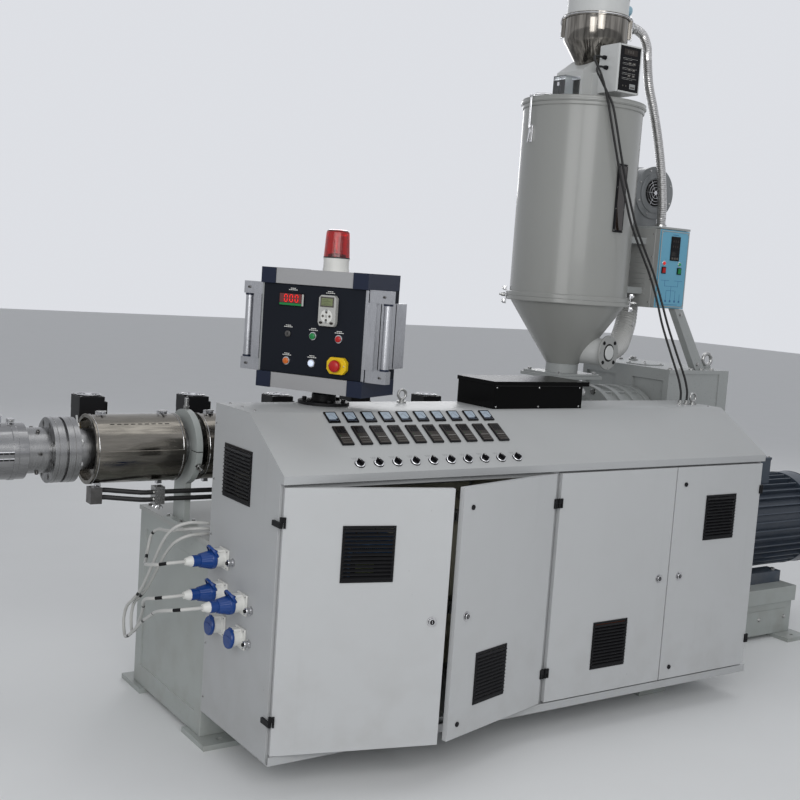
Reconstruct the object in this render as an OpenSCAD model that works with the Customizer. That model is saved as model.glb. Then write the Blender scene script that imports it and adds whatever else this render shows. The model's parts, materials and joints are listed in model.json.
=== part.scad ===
// Single-screw plastic extruder: bed, barrel group, gearbox, motor, control
// cabinet with swivelling console, and hopper dryer with vacuum loader.
// Millimetres. X runs along the screw from the die to the motor, -Y is the
// operator's side, Z is up from the floor. The origin is on the floor, at the
// centre of the four corner anchor holes, straight below the screw axis.

/* [Bed] */
// Length of the bed over its foot plates' edges
bed_length = 3375; // [3200:5:3700]
// Width of the bed
bed_width = 650; // [600:5:720]
// Height of the high part of the bed, under the barrel
bed_height = 750; // [720:5:800]
// Length of the high part of the bed
high_length = 2040; // [2000:5:2060]
// Height of the low part of the bed, under the gearbox and motor
low_height = 267; // [220:1:300]
// Thickness of the bed's top plates
bed_plate = 18; // [12:1:25]
// Thickness of a foot plate
foot_thickness = 20; // [14:1:30]
// Size of a foot plate along the bed
foot_length = 160; // [140:5:200]
// Size of a foot plate across the bed
foot_width = 200; // [180:5:240]
// How far a foot plate stands out from the bed's side
foot_reach = 85; // [75:1:110]
// Diameter of an anchor hole
anchor_hole = 22; // [16:1:26]

/* [Cabinet] */
// Length of the cabinet
cabinet_length = 2340; // [2300:5:2400]
// Depth of the cabinet
cabinet_depth = 530; // [500:5:560]
// Height of the cabinet's underside above the floor
cabinet_clearance = 120; // [100:1:140]
// Height of the cabinet's upright front
front_height = 960; // [940:5:980]
// Height of the cabinet's top above its underside
cabinet_height = 1130; // [1110:5:1150]
// Depth of the flat top behind the slanted instrument panel
top_depth = 262; // [240:1:280]
// Thickness of the cabinet's sheet steel
sheet = 3; // [2:0.5:4]
// Height of the lip below the slanted panel
lip_height = 27; // [20:1:32]

/* [Doors] */
// Height of a door
door_height = 890; // [870:1:895]
// Thickness of a door
door_depth = 20; // [16:1:24]
// Gap round the doors
door_gap = 6; // [6:1:8]
// Place where the first pair of doors meets, from the die end
door_split_a = 590; // [540:1:620]
// Place of the middle post between the pairs, from the die end
door_post = 1167; // [1140:1:1190]
// Place where the second pair of doors meets, from the die end
door_split_b = 1802; // [1740:1:1840]
// Angle at which the first door stands open
door_1_open = 15; // [8:1:40]
// Angle at which the second door stands open
door_2_open = 15; // [8:1:40]
// Radius of a hinge pin
pin_r = 3; // [2.5:0.1:3.5]
// Radial clearance of a hinge knuckle on its pin
pin_clearance = 0.05; // [0.03:0.01:0.1]

/* [Instruments] */
// Distance between neighbouring columns of instruments
instrument_pitch = 75.5; // [70:0.5:78]
// Place of the first column, from the die end
instrument_start = 303; // [280:1:330]
// Number of instrument columns
instrument_count = 10; // [6:1:12]
// Width of a temperature controller
controller_w = 48; // [45:1:50]
// Height of a temperature controller
controller_h = 96; // [90:1:100]
// Height of an ammeter
meter_h = 56; // [50:1:60]
// Diameter of a selector knob's bezel
knob_d = 30; // [26:1:34]

/* [Screw line] */
// Height of the screw axis above the floor
axis_height = 1040; // [1030:1:1060]
// Radius of the bare barrel
barrel_r = 75; // [70:1:85]
// Radius of the heater covers
cover_r = 128; // [120:1:130]
// Radius of the flange joint
flange_r = 117; // [108:1:125]
// Radius of the die adapter's neck
neck_r = 81; // [70:1:85]
// Radius of the heated die adapter
adapter_r = 99; // [90:1:105]
// Outer radius of the barrel support ring
ring_r = 142; // [138:1:148]
// Length of the first heater cover
first_cover = 337; // [320:1:345]
// Distance between neighbouring heating zones
zone_pitch = 378; // [370:1:380]
// Gap between neighbouring heater covers
cover_gap = 18; // [12:1:24]

/* [Dryer] */
// Place of the dryer's axis, from the die end of the bed
dryer_place = 1900; // [1885:1:1905]
// Outer radius of the dryer's drum
dryer_r = 270; // [250:1:275]
// Thickness of the insulated drum wall
dryer_wall = 40; // [25:1:45]
// Height of the drum
drum_height = 860; // [780:5:880]
// Height of the cone under the drum
cone_height = 300; // [280:5:320]
// Radius of the throat under the cone
throat_r = 75; // [65:1:80]

/* [Drive] */
// Radius of the ribbed thrust bearing housing
thrust_r = 245; // [235:1:250]
// Length of the gearbox without its rear flange
gearbox_length = 345; // [330:5:400]
// Width of the gearbox
gearbox_width = 585; // [560:5:600]
// Height of the gearbox's top above the screw axis
gearbox_rise = 344; // [330:1:360]
// Radius of the motor's ribbed frame
motor_r = 250; // [235:1:255]
// Length of the motor's ribbed frame
motor_length = 520; // [460:5:560]

/* [Console] */
// Width of the console's front
console_w = 450; // [420:5:480]
// Height of the console's front
console_h = 435; // [410:5:450]
// Depth of the console's housing
console_d = 190; // [170:5:210]
// Angle of the console from facing straight out over the doors
console_yaw = -62; // [-80:1:-20]

/* [Hidden] */

$fn = 64;
eps = 0.01;
seat = 0.3;

// Places shared by several pieces, from the die end of the bed and the screw's vertical plane
cab_back_y = -bed_width / 2;
cab_front_y = cab_back_y - cabinet_depth;
cab_slant_z = cabinet_clearance + front_height;
cab_top_z = cabinet_clearance + cabinet_height;
cab_break_y = cab_back_y - top_depth;
slant_run = cab_break_y - cab_front_y;
slant_rise = cab_top_z - cab_slant_z;
slant_angle = atan2(slant_rise, slant_run);
slant_length = norm([slant_run, slant_rise]);
lip_bottom_z = cab_slant_z - lip_height;
door_top_z = lip_bottom_z - 8;
door_bottom_z = door_top_z - door_height;
frame_y = cab_front_y + door_depth + 2;
post_w = 40;
sill_top_z = door_bottom_z - 4;

// Door edges along the cabinet: near the die end, then away from it
door_left = [4, door_split_a + door_gap / 2, door_post + 14, door_split_b + door_gap / 2];
door_right = [door_split_a - door_gap / 2, door_post - 14, door_split_b - door_gap / 2, cabinet_length - 15];
door_hinged_left = [true, false, true, false];
door_rest = [door_1_open, door_2_open, 0, 0];
hinge_side = 7;
hinge_front = 2;
hinge_z = [272, 932];
hinge_h = 36;
knuckle_r = 5.5;

// Vent cut-outs in the doors: left edge, width, lower edge, height
vent_w = 183;
vent_h = 190;
vent_left = [door_left[0] + 199, door_right[1] - 427, door_left[2] + 225, door_left[3] + 183];
vent_low = [731, 254, 254, 731];
vent_out = 8;

ring_x = 30.5;
ring_w = 25;
first_cover_x = -353;
second_cover_x = 70;
zone_x = [first_cover_x, for (i = [0:3]) second_cover_x + i * zone_pitch];
zone_length = [first_cover, for (i = [0:3]) zone_pitch - cover_gap];
flange_joint_x = -452;
flange_out = 40;
flange_in = 44;
flange_slit = 9;
barrel_end_x = flange_joint_x + flange_slit / 2 + flange_in;
neck_length = 84;
adapter_length = 190;
adapter_start_x = flange_joint_x - flange_slit / 2 - flange_out - neck_length;
feed_half = 130;
feed_top_z = 1335;
throat_top_z = feed_top_z + 50;
drum_bottom_z = throat_top_z + cone_height;
drum_top_z = drum_bottom_z + drum_height;
lid_h = 22;
thrust_x = dryer_place + feed_half + 30;
gearbox_x = 2345;
gearbox_front_y = -255;
gearbox_flange = 66;
rib_count = 4;
rib_w = 32;
gearbox_top_z = axis_height + gearbox_rise;
motor_axis_z = low_height + 285;
motor_x = 3010;
console_x = 406;
console_y = cab_back_y - 53;
console_foot_h = 52;
console_front = 115;

// Moves a piece from the die end of the bed to the part's own origin
module in_frame() {
    translate([-bed_length / 2, 0, 0]) children();
}

// Box given by two corners
module box(a, b) {
    translate(a) cube(b - a);
}

// Cylinder along X from x = a to x = b
module rod_x(a, b, r, y = 0, z = 0) {
    translate([a, y, z]) rotate([0, 90, 0]) cylinder(h = b - a, r = r);
}

// Cylinder along Y from y = a to y = b
module rod_y(a, b, r, x = 0, z = 0) {
    translate([x, a, z]) rotate([-90, 0, 0]) cylinder(h = b - a, r = r);
}

// Tube along X
module tube_x(a, b, r_out, r_in, y = 0, z = 0) {
    difference() {
        rod_x(a, b, r_out, y, z);
        rod_x(a - 1, b + 1, r_in, y, z);
    }
}

// Outline in the YZ plane pushed along X from x = a to x = b
module along_x(a, b) {
    translate([a, 0, 0]) rotate([90, 0, 90]) linear_extrude(b - a) children();
}

// Places children on the slanted panel: x along the machine, u up the slant, z out of it
module on_slant(x, u) {
    translate([x, cab_front_y, cab_slant_z]) rotate([slant_angle, 0, 0]) translate([0, u, 0]) children();
}

// Bed

// Welded frame: high box under the barrel and low box under gearbox and motor
module bed_frame() color("lightgray") in_frame() {
    difference() {
        box([0, -bed_width / 2, foot_thickness], [high_length, bed_width / 2, bed_height - bed_plate]);
        for (y = [-1, 1]) {
            for (i = [0:2]) {
                translate([90 + i * 640, y * bed_width / 2 - 6, 110])
                    cube([580, 12, bed_height - bed_plate - 200]);
            }
        }
        box([-1, -bed_width / 2 + 60, 100], [5, bed_width / 2 - 60, bed_height - bed_plate - 70]);
    }
    box([high_length, -bed_width / 2 + 12, foot_thickness], [bed_length - 12, bed_width / 2 - 12, low_height - 80]);
    box([high_length, -bed_width / 2, low_height - 80], [bed_length, bed_width / 2, low_height]);
}

module bed_top_plate() color("gainsboro") in_frame() {
    box([-6, -bed_width / 2, bed_height - bed_plate], [high_length, bed_width / 2 + 6, bed_height]);
}

module bed_foot_plates() color("gainsboro") in_frame() {
    foot_x = [foot_length / 2 - 20, 1130, 2230, bed_length - foot_length / 2 + 20];
    for (x = foot_x, side = [-1, 1]) {
        translate([x, side * (bed_width / 2 + foot_reach - foot_width / 2), 0]) difference() {
            translate([-foot_length / 2, -foot_width / 2, 0]) cube([foot_length, foot_width, foot_thickness]);
            translate([0, side * (foot_width / 2 - foot_reach / 2), -1])
                cylinder(h = foot_thickness + 2, d = anchor_hole);
        }
    }
}

// Beams that carry the cabinet from the bed, the last one on a foot plate of its own
module cabinet_outriggers() color("lightgray") in_frame() {
    beam_y = [cab_back_y - 84, cab_back_y - 230, cab_front_y + 200];
    beam_x = [190, 1080, 1930];
    for (i = [0:2]) {
        box([beam_x[i], beam_y[i], foot_thickness], [beam_x[i] + 120, cab_back_y, cabinet_clearance]);
    }
    for (i = [1:2]) {
        box([beam_x[i] - 20, beam_y[i] - 5, 0], [beam_x[i] + 140, cab_back_y - foot_reach - 5, foot_thickness]);
    }
}

// Cabinet

// Side outline of the cabinet behind the doors, under the hood
module end_outline() {
    polygon([
        [frame_y, cabinet_clearance + sheet],
        [cab_back_y - sheet, cabinet_clearance + sheet],
        [cab_back_y - sheet, cab_top_z - sheet],
        [cab_break_y + sheet * tan(slant_angle / 2), cab_top_z - sheet],
        [cab_front_y + sheet, cab_slant_z - sheet * tan(45 - slant_angle / 2)],
        [cab_front_y + sheet, lip_bottom_z],
        [frame_y, lip_bottom_z]
    ]);
}

end_vent_y = cab_back_y - 303;
end_vent_z = 936;
end_vent_w = 210;
end_vent_h = 186;

module cabinet_ends() color("silver") in_frame() {
    along_x(cabinet_length - sheet, cabinet_length) end_outline();
    difference() {
        along_x(0, sheet) end_outline();
        box([-1, end_vent_y + 8, end_vent_z + 8], [sheet + 1, end_vent_y + end_vent_w - 8, end_vent_z + end_vent_h - 8]);
    }
}

module cabinet_back() color("silver") in_frame() {
    box([0, cab_back_y - sheet, cabinet_clearance + sheet], [cabinet_length, cab_back_y, cab_top_z - sheet]);
}

// Bent sheet: lip, slanted instrument panel and flat top, with the instrument cut-outs
module cabinet_hood() color("lightgray") in_frame() {
    lean = sheet * tan(slant_angle / 2);
    fold = sheet * tan(45 - slant_angle / 2);
    difference() {
        along_x(0, cabinet_length) polygon([
            [cab_front_y, lip_bottom_z],
            [cab_front_y, cab_slant_z],
            [cab_break_y, cab_top_z],
            [cab_back_y, cab_top_z],
            [cab_back_y, cab_top_z - sheet],
            [cab_break_y + lean, cab_top_z - sheet],
            [cab_front_y + sheet, cab_slant_z - fold],
            [cab_front_y + sheet, lip_bottom_z]
        ]);
        for (i = [0:instrument_count - 1]) {
            on_slant(instrument_start + i * instrument_pitch, 0) {
                translate([-controller_w / 2 + 2, meter_u - meter_h / 2 + 4, -20]) cube([controller_w - 4, meter_h - 8, 30]);
                translate([-controller_w / 2 + 2, controller_u - controller_h / 2 + 2, -20])
                    cube([controller_w - 4, controller_h - 4, 30]);
                translate([0, knob_u, -20]) cylinder(h = 30, r = 11 + seat);
            }
        }
        translate([console_x, console_y, cab_top_z - 10]) cylinder(h = 20, r = 28 + seat);
        for (x = gland_x) {
            translate([x, gland_y, cab_top_z - 10]) cylinder(h = 20, r = 8 + seat);
        }
    }
}

meter_u = 283;
controller_u = 186;
knob_u = 45;
gland_x = [2196, 2236];
gland_y = cab_back_y - 150;

// Welded frame: floor with its upright front edge, posts and rails
module cabinet_frame() color("silver") in_frame() {
    z0 = cabinet_clearance + sheet;
    left_x = [sheet, door_post - post_w / 2, cabinet_length - sheet - post_w];
    box([0, cab_front_y, cabinet_clearance], [cabinet_length, cab_back_y, z0]);
    box([0, cab_front_y, z0], [cabinet_length, cab_front_y + sheet, sill_top_z]);
    for (x = left_x) {
        box([x, frame_y, z0], [x + post_w, frame_y + post_w, lip_bottom_z]);
    }
    for (i = [0:1]) {
        box([left_x[i] + post_w, frame_y, z0], [left_x[i + 1], frame_y + 25, door_bottom_z + 12]);
        box([left_x[i] + post_w, frame_y, door_top_z - 12], [left_x[i + 1], frame_y + 25, lip_bottom_z]);
    }
}

plate_y = cab_back_y - 60;

// Partition behind the middle post, and the two mounting plates on their spacers
module cabinet_inner_plates() color("lightyellow") in_frame() {
    box([door_post - sheet / 2, frame_y + post_w, cabinet_clearance + sheet],
        [door_post + sheet / 2, cab_back_y - sheet, cab_slant_z - 40]);
    for (x = [[60, door_post - 60], [door_post + 60, cabinet_length - 60]]) {
        box([x[0], plate_y - sheet, 180], [x[1], plate_y, 1010]);
        for (t = [x[0] + 30, x[1] - 50], z = [220, 960]) {
            box([t, plate_y, z], [t + 20, cab_back_y - sheet, z + 20]);
        }
    }
}

// Rails and switchgear on the mounting plates
module cabinet_components() color("steelblue") in_frame() {
    front = plate_y - sheet;
    for (z = [430, 860]) {
        box([80, front - 12, z], [door_post - 80, front, z + 35]);
    }
    box([430, front - 190, 520], [690, front, 760]);
    box([150, front - 130, 520], [370, front, 700]);
    box([door_post + 200, front - 140, 480], [door_post + 620, front, 800]);
    for (i = [0:7]) {
        box([130 + i * 100, front - 82, 840], [130 + i * 100 + 70, front - 12, 915]);
    }
}

// Fixed halves of the door hinges, each with its pin
module hinge_pins() color("dimgray") in_frame() {
    for (d = [0:3], z = hinge_z) {
        side = door_hinged_left[d] ? 1 : -1;
        x = door_hinged_left[d] ? door_left[d] - hinge_side : door_right[d] + hinge_side;
        translate([x, cab_front_y - hinge_front, z - hinge_h / 2]) {
            cylinder(h = hinge_h / 2 - 0.5, r = knuckle_r);
            cylinder(h = hinge_h - 4, r = pin_r);
            box([min(-5.5 * side, 1.5 * side), 0, 0],
                [max(-5.5 * side, 1.5 * side), hinge_front + door_depth + 2, hinge_h / 2 - 0.5]);
            if (d == 0) {
                box([-5.5, hinge_front + door_depth + 2, 0], [3, hinge_front + door_depth + 32, hinge_h / 2 - 0.5]);
            }
        }
    }
}

// Louvre plate in the XZ plane, facing -Y, over an opening of width w and height h
module louvre(w, h, slats, t = 6, edge = 3) {
    difference() {
        translate([-w / 2, -edge, -h / 2]) cube([w, edge, h]);
        translate([-w / 2 + 9, -edge - 1, -h / 2 + 9]) cube([w - 18, edge + 2, h - 18]);
    }
    step = (h - 18) / slats;
    for (i = [0:slats - 1]) {
        translate([-w / 2 + 3, 0, -h / 2 + 11 + i * step]) rotate([90, 0, 90]) linear_extrude(w - 6)
            polygon([[-0.5, step * 0.5], [-0.5, step * 0.5 + 2.2], [0.5 - t, 2.2], [0.5 - t, 0]]);
    }
}

module end_vent() color("black") in_frame() {
    translate([0, end_vent_y + end_vent_w / 2, end_vent_z + end_vent_h / 2]) rotate([0, 0, -90])
        louvre(end_vent_w, end_vent_h, 13, vent_out);
}

module ammeters() color("whitesmoke") in_frame() {
    for (i = [0:instrument_count - 1]) {
        on_slant(instrument_start + i * instrument_pitch, meter_u) {
            translate([-controller_w / 2, -meter_h / 2, 0]) cube([controller_w, meter_h, 7]);
            translate([-controller_w / 2 + 2, -meter_h / 2 + 4, -32]) cube([controller_w - 4, meter_h - 8, 32]);
        }
    }
}

module temperature_controllers() color("black") in_frame() {
    for (i = [0:instrument_count - 1]) {
        on_slant(instrument_start + i * instrument_pitch, controller_u) {
            translate([-controller_w / 2, -controller_h / 2, 0]) cube([controller_w, controller_h, 8]);
            translate([-controller_w / 2 + 2, -controller_h / 2 + 2, -70]) cube([controller_w - 4, controller_h - 4, 70]);
        }
    }
}

module selector_knobs() color("gray") in_frame() {
    for (i = [0:instrument_count - 1]) {
        on_slant(instrument_start + i * instrument_pitch, knob_u) {
            difference() {
                cylinder(h = 5, d = knob_d);
                translate([0, 0, 4]) cylinder(h = 2, d = knob_d - 5);
            }
            cylinder(h = 13, r = 9.5);
            rotate([0, 0, 25]) translate([-3.5, -11, 5]) cube([7, 22, 14]);
            translate([0, 0, -25]) cylinder(h = 25, r = 11);
        }
    }
}

// Lifting eyebolts and cable glands on the cabinet's top, and spare glands on its die end
module cabinet_fittings() color("silver") in_frame() {
    for (p = [[770, console_y + 25], [2276, gland_y]]) {
        translate([p[0], p[1], cab_top_z]) {
            cylinder(h = 6, r = 18);
            cylinder(h = 14, r = 10);
            translate([0, 4, 32]) rotate([90, 0, 0]) rotate_extrude() translate([18, 4]) circle(r = 5, $fn = 24);
        }
    }
    for (x = gland_x) {
        translate([x, gland_y, cab_top_z]) {
            translate([0, 0, -12]) cylinder(h = 12, r = 8);
            cylinder(h = 8, r = 13, $fn = 6);
            cylinder(h = 20, r = 10);
        }
    }
    for (p = end_gland) {
        translate([0, p[0], p[1]]) rotate([0, -90, 0]) {
            cylinder(h = 7, r = 16, $fn = 6);
            cylinder(h = 22, r = 12);
        }
    }
}

cable_r = 5;
socket_place = [[cab_back_y - 136, 720], [cab_back_y - 136, 602], [cab_back_y - 292, 602], [cab_back_y - 136, 484], [cab_back_y - 292, 484]];
socket_plugged = [true, true, true, false, false];
socket_r = 31;
socket_plate = 72;
plug_end = 150;
end_gland = [[-526, 720], [-679, 594], [-678, 479]];

// Wall sockets on the die end, with plugs in three and lids on two
module end_sockets() color("royalblue") in_frame() {
    half = socket_plate / 2;
    for (i = [0:4]) {
        translate([0, socket_place[i][0], socket_place[i][1]]) rotate([0, -90, 0]) {
            translate([-half, -half, 0]) cube([socket_plate, socket_plate, 8]);
            translate([0, 0, 8]) cylinder(h = 36, r = socket_r - 3);
            translate([half - 12, -14, 8]) cube([11, 28, 34]);
            if (socket_plugged[i]) {
                translate([0, 0, 44]) cylinder(h = 14, r = socket_r + 2);
                translate([0, 0, 58]) cylinder(h = 40, r1 = socket_r + 2, r2 = 24);
                translate([0, 0, 98]) cylinder(h = 26, r = 21);
                translate([0, 0, 124]) cylinder(h = plug_end - 124, r1 = 18, r2 = 12);
                translate([half - 8, 0, 44]) rotate([0, -35, 0]) translate([0, 0, 0]) cylinder(h = 9, r = socket_r);
            } else {
                translate([0, 0, 44]) rotate([0, 6, 0]) translate([0, 0, -3]) cylinder(h = 12, r = socket_r + 3);
            }
        }
    }
}

lead_r = 6;

// Doors

// Folded sheet door with its vent cut-out, from its left edge to its right edge
module door_panel(d) {
    difference() {
        box([door_left[d], cab_front_y, door_bottom_z], [door_right[d], cab_front_y + door_depth, door_top_z]);
        box([door_left[d] + sheet, cab_front_y + sheet, door_bottom_z + sheet],
            [door_right[d] - sheet, cab_front_y + door_depth + 1, door_top_z - sheet]);
        box([vent_left[d] + 8, cab_front_y - 1, vent_low[d] + 8],
            [vent_left[d] + vent_w - 8, cab_front_y + sheet + 1, vent_low[d] + vent_h - 8]);
        translate([lock_x(d), cab_front_y - 1, lock_z]) rotate([-90, 0, 0]) cylinder(h = sheet + 2, r = 11 + seat);
    }
}

function lock_x(d) = door_hinged_left[d] ? door_right[d] - 52 : door_left[d] + 60;
lock_z = 590;

// Turns a closed door about its hinge to where it stands
module swung(d) {
    side = door_hinged_left[d] ? -1 : 1;
    x = door_hinged_left[d] ? door_left[d] - hinge_side : door_right[d] + hinge_side;
    translate([x, cab_front_y - hinge_front, 0]) rotate([0, 0, side * door_rest[d]])
        translate([-x, -cab_front_y + hinge_front, 0]) children();
}

// Moving hinge leaves and knuckles, the lock, and the bolt heads of a door
module door_fittings(d) {
    side = door_hinged_left[d] ? 1 : -1;
    x = door_hinged_left[d] ? door_left[d] - hinge_side : door_right[d] + hinge_side;
    for (z = hinge_z) {
        translate([x, cab_front_y - hinge_front, z - hinge_h / 2]) difference() {
            union() {
                translate([0, 0, hinge_h / 2]) cylinder(h = hinge_h / 2, r = knuckle_r);
                box([min(0, 9 * side), -4, hinge_h / 2], [max(0, 9 * side), hinge_front, hinge_h]);
                box([min(8 * side, 15 * side), -4, 0], [max(8 * side, 15 * side), hinge_front, hinge_h]);
            }
            cylinder(h = hinge_h + 10, r = pin_r + pin_clearance);
        }
    }
    translate([lock_x(d), cab_front_y, lock_z]) rotate([90, 0, 0]) {
        cylinder(h = 4, r = 17);
        cylinder(h = 7, r = 12);
        translate([0, 0, -26]) cylinder(h = 26, r = 11);
    }
    door_vent(d);
    if (!door_hinged_left[d]) {
        for (z = [door_bottom_z + 50, door_top_z - 72]) {
            rod_y(cab_front_y - 4, cab_front_y, 9, lock_x(d) - 8, z);
        }
    }
}

module door_vent(d) {
    translate([vent_left[d] + vent_w / 2, cab_front_y, vent_low[d] + vent_h / 2]) louvre(vent_w, vent_h, 13, vent_out);
}

module door_1() color("lightgray") in_frame() swung(0) door_panel(0);
module door_2() color("lightgray") in_frame() swung(1) door_panel(1);
module door_3() color("lightgray") in_frame() swung(2) door_panel(2);
module door_4() color("lightgray") in_frame() swung(3) door_panel(3);
module door_1_fittings() color("dimgray") in_frame() swung(0) door_fittings(0);
module door_2_fittings() color("dimgray") in_frame() swung(1) door_fittings(1);
module door_3_fittings() color("dimgray") in_frame() swung(2) door_fittings(2);
module door_4_fittings() color("dimgray") in_frame() swung(3) door_fittings(3);

// Black box with an overhanging lid on the cabinet's top
module top_box() color("black") in_frame() {
    x0 = 1055;
    y0 = cab_break_y + 22;
    y1 = cab_back_y - 6;
    box([x0, y0, cab_top_z], [x0 + 460, y1, cab_top_z + 92]);
    box([x0 - 4, y0 - 6, cab_top_z + 92], [x0 + 490, y1 + 4, cab_top_z + 108]);
    rod_x(x0 + 460, x0 + 486, 9, y0 + 60, cab_top_z + 58);
    rod_x(x0 + 486, x0 + 512, 19, y0 + 60, cab_top_z + 58);
}

// Console

module console_pedestal() color("black") in_frame() {
    translate([console_x, console_y, cab_top_z]) {
        translate([0, 0, -40]) cylinder(h = 40, r = 28);
        cylinder(h = 12, r = 95);
        cylinder(h = console_foot_h - 14, r = 45);
        for (i = [0:5]) {
            rotate([0, 0, 60 * i + 15]) translate([74, 0, 12]) cylinder(h = 10, r = 9, $fn = 6);
        }
    }
}

// Places children in the console's own frame: front towards -Y, z = 0 at its underside
module in_console() {
    in_frame() translate([console_x, console_y, cab_top_z + console_foot_h]) rotate([0, 0, console_yaw]) children();
}

rail_h = 55;
corner = 62;

module console_housing() color("darkslategray") in_console() {
    box([-console_w / 2, -console_front + 8, rail_h + 1], [console_w / 2, console_front, console_h - rail_h - 1]);
    translate([0, 0, -14 + seat]) cylinder(h = rail_h + 14, r = 40);
}

// Top and bottom rails with their four corner pieces
module console_trim() color("lightgray") in_console() {
    for (z = [0, console_h - rail_h]) {
        difference() {
            box([-console_w / 2 + corner, -console_front, z], [console_w / 2 - corner, console_front, z + rail_h]);
            if (z == 0) translate([0, 0, -1]) cylinder(h = rail_h + 2, r = 40 + seat);
        }
    }
    for (s = [-1, 1], z = [0, console_h - rail_h]) {
        x = s * console_w / 2;
        box([min(x, x - corner * s), -console_front - 3, z - 1], [max(x, x - corner * s), console_front, z + rail_h + 1]);
    }
}

module console_handles() color("silver") in_console() {
    for (s = [-1, 1]) {
        x = s * console_w / 2;
        for (z = [rail_h, console_h - rail_h - 45]) {
            box([min(x, x + 84 * s), -console_front + 12, z], [max(x, x + 84 * s), -console_front + 46, z + 45]);
        }
        box([min(x, x + 34 * s), -console_front + 4, rail_h + 45],
            [max(x, x + 34 * s), console_front, console_h - rail_h - 45]);
        translate([x + 68 * s, -console_front + 29, rail_h + 45])
            cylinder(h = console_h - 2 * rail_h - 90, r = 15);
    }
}

module console_controls() color("white") in_console() {
    y = -console_front + 8;
    box([-135, y - 6, 300], [-39, y, 348]);
    box([5, y - 24, 238], [75, y, 350]);
    for (p = [[20, 196], [118, 196], [-98, 102], [8, 102]]) {
        rod_y(y - 12, y, 15, p[0], p[1]);
    }
    rod_y(y - 6, y, 12, -98, 200);
    box([70, y - 30, 68], [145, y, 140]);
    rod_y(y - 46, y - 30, 18, 108, 104);
    rod_y(y - 62, y - 46, 28, 108, 104);
}

module warning_beacon() color("red") in_console() {
    translate([30, -20, console_h]) {
        cylinder(h = 50, r = 48);
        translate([0, 0, 50]) cylinder(h = 92, r1 = 48, r2 = 42);
        translate([0, 0, 142]) cylinder(h = 8, r1 = 42, r2 = 30);
    }
}

// Barrel group

module barrel() color("silver") in_frame() {
    rod_x(barrel_end_x - 2, dryer_place - feed_half, barrel_r, 0, axis_height);
}

module barrel_flanges() color("lightsteelblue") in_frame() {
    face = flange_joint_x - flange_slit / 2 - flange_out;
    difference() {
        rod_x(face, flange_joint_x - flange_slit / 2, flange_r, 0, axis_height);
        for (i = [0:7]) {
            translate([face, 0, axis_height]) rotate([i * 45 + 22.5, 0, 0]) translate([0, flange_r - 20, 0])
                rotate([0, 90, 0]) cylinder(h = 28, r = 11, center = true);
        }
    }
    rod_x(flange_joint_x - flange_slit / 2, flange_joint_x + flange_slit / 2, flange_r - 14, 0, axis_height);
    difference() {
        rod_x(flange_joint_x + flange_slit / 2, barrel_end_x, flange_r, 0, axis_height);
        rod_x(barrel_end_x - 2, barrel_end_x + 1, barrel_r + seat, 0, axis_height);
    }
}

// Neck, heated adapter with its clamp strips, and the plain outlet flange
module die_adapter() color("silver") in_frame() {
    x = adapter_start_x;
    rod_x(x, x + neck_length, neck_r, 0, axis_height);
    rod_x(x - adapter_length, x, adapter_r, 0, axis_height);
    rod_x(x - adapter_length - 40, x - adapter_length, adapter_r - 22, 0, axis_height);
    box([x - 112, -16, axis_height + adapter_r - 4], [x - 78, 16, axis_height + adapter_r + 26]);
    for (t = [x - 150, x - 52]) {
        rod_x(t, t + 18, adapter_r + 2.5, 0, axis_height);
    }
}

// Stainless cover shells round the heated barrel, with strap latches on top
module heater_covers() color("darkgray") in_frame() {
    for (i = [0:4]) {
        x = zone_x[i];
        difference() {
            union() {
                rod_x(x + 8, x + zone_length[i] - 8, cover_r - 2, 0, axis_height);
                rod_x(x, x + 8, cover_r, 0, axis_height);
                rod_x(x + zone_length[i] - 8, x + zone_length[i], cover_r, 0, axis_height);
                for (t = [34, zone_length[i] - 68]) {
                    box([x + t, -18, axis_height + cover_r - 10], [x + t + 30, 10, axis_height + cover_r + 9]);
                    box([x + t + 6, -12, axis_height - cover_r - 8], [x + t + 24, 12, axis_height - cover_r + 10]);
                }
                box([x + 8, -cover_r - 3, axis_height - 9], [x + zone_length[i] - 8, -cover_r + 12, axis_height + 9]);
                box([x + 8, cover_r - 12, axis_height - 9], [x + zone_length[i] - 8, cover_r + 3, axis_height + 9]);
            }
            rod_x(x - 1, x + zone_length[i] + 1, barrel_r + seat, 0, axis_height);
            rod_x(x - 1, x + 22, cover_r - 14, 0, axis_height);
        }
    }
}

// Ring clamped round the barrel between the first two covers, on its column
module barrel_support() color("gainsboro") in_frame() {
    difference() {
        union() {
            rod_x(ring_x - ring_w / 2, ring_x + ring_w / 2, ring_r, 0, axis_height);
            box([ring_x - 12, -52, bed_height], [ring_x + 12, 52, axis_height - ring_r + 24]);
            box([ring_x - 40, -70, bed_height], [ring_x + 40, 70, bed_height + 12]);
        }
        rod_x(ring_x - ring_w, ring_x + ring_w, barrel_r + seat, 0, axis_height);
    }
    for (a = [0, 112]) {
        translate([ring_x, 0, axis_height]) rotate([a, 0, 0]) translate([0, 0, ring_r - 20]) {
            cylinder(h = 62, r = 8.5);
            translate([0, 0, 18]) cylinder(h = 14, r = 12, $fn = 6);
        }
    }
    for (x = [700, 1400]) {
        box([x - 12, -52, bed_height], [x + 12, 52, axis_height - cover_r - seat]);
    }
}

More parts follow.
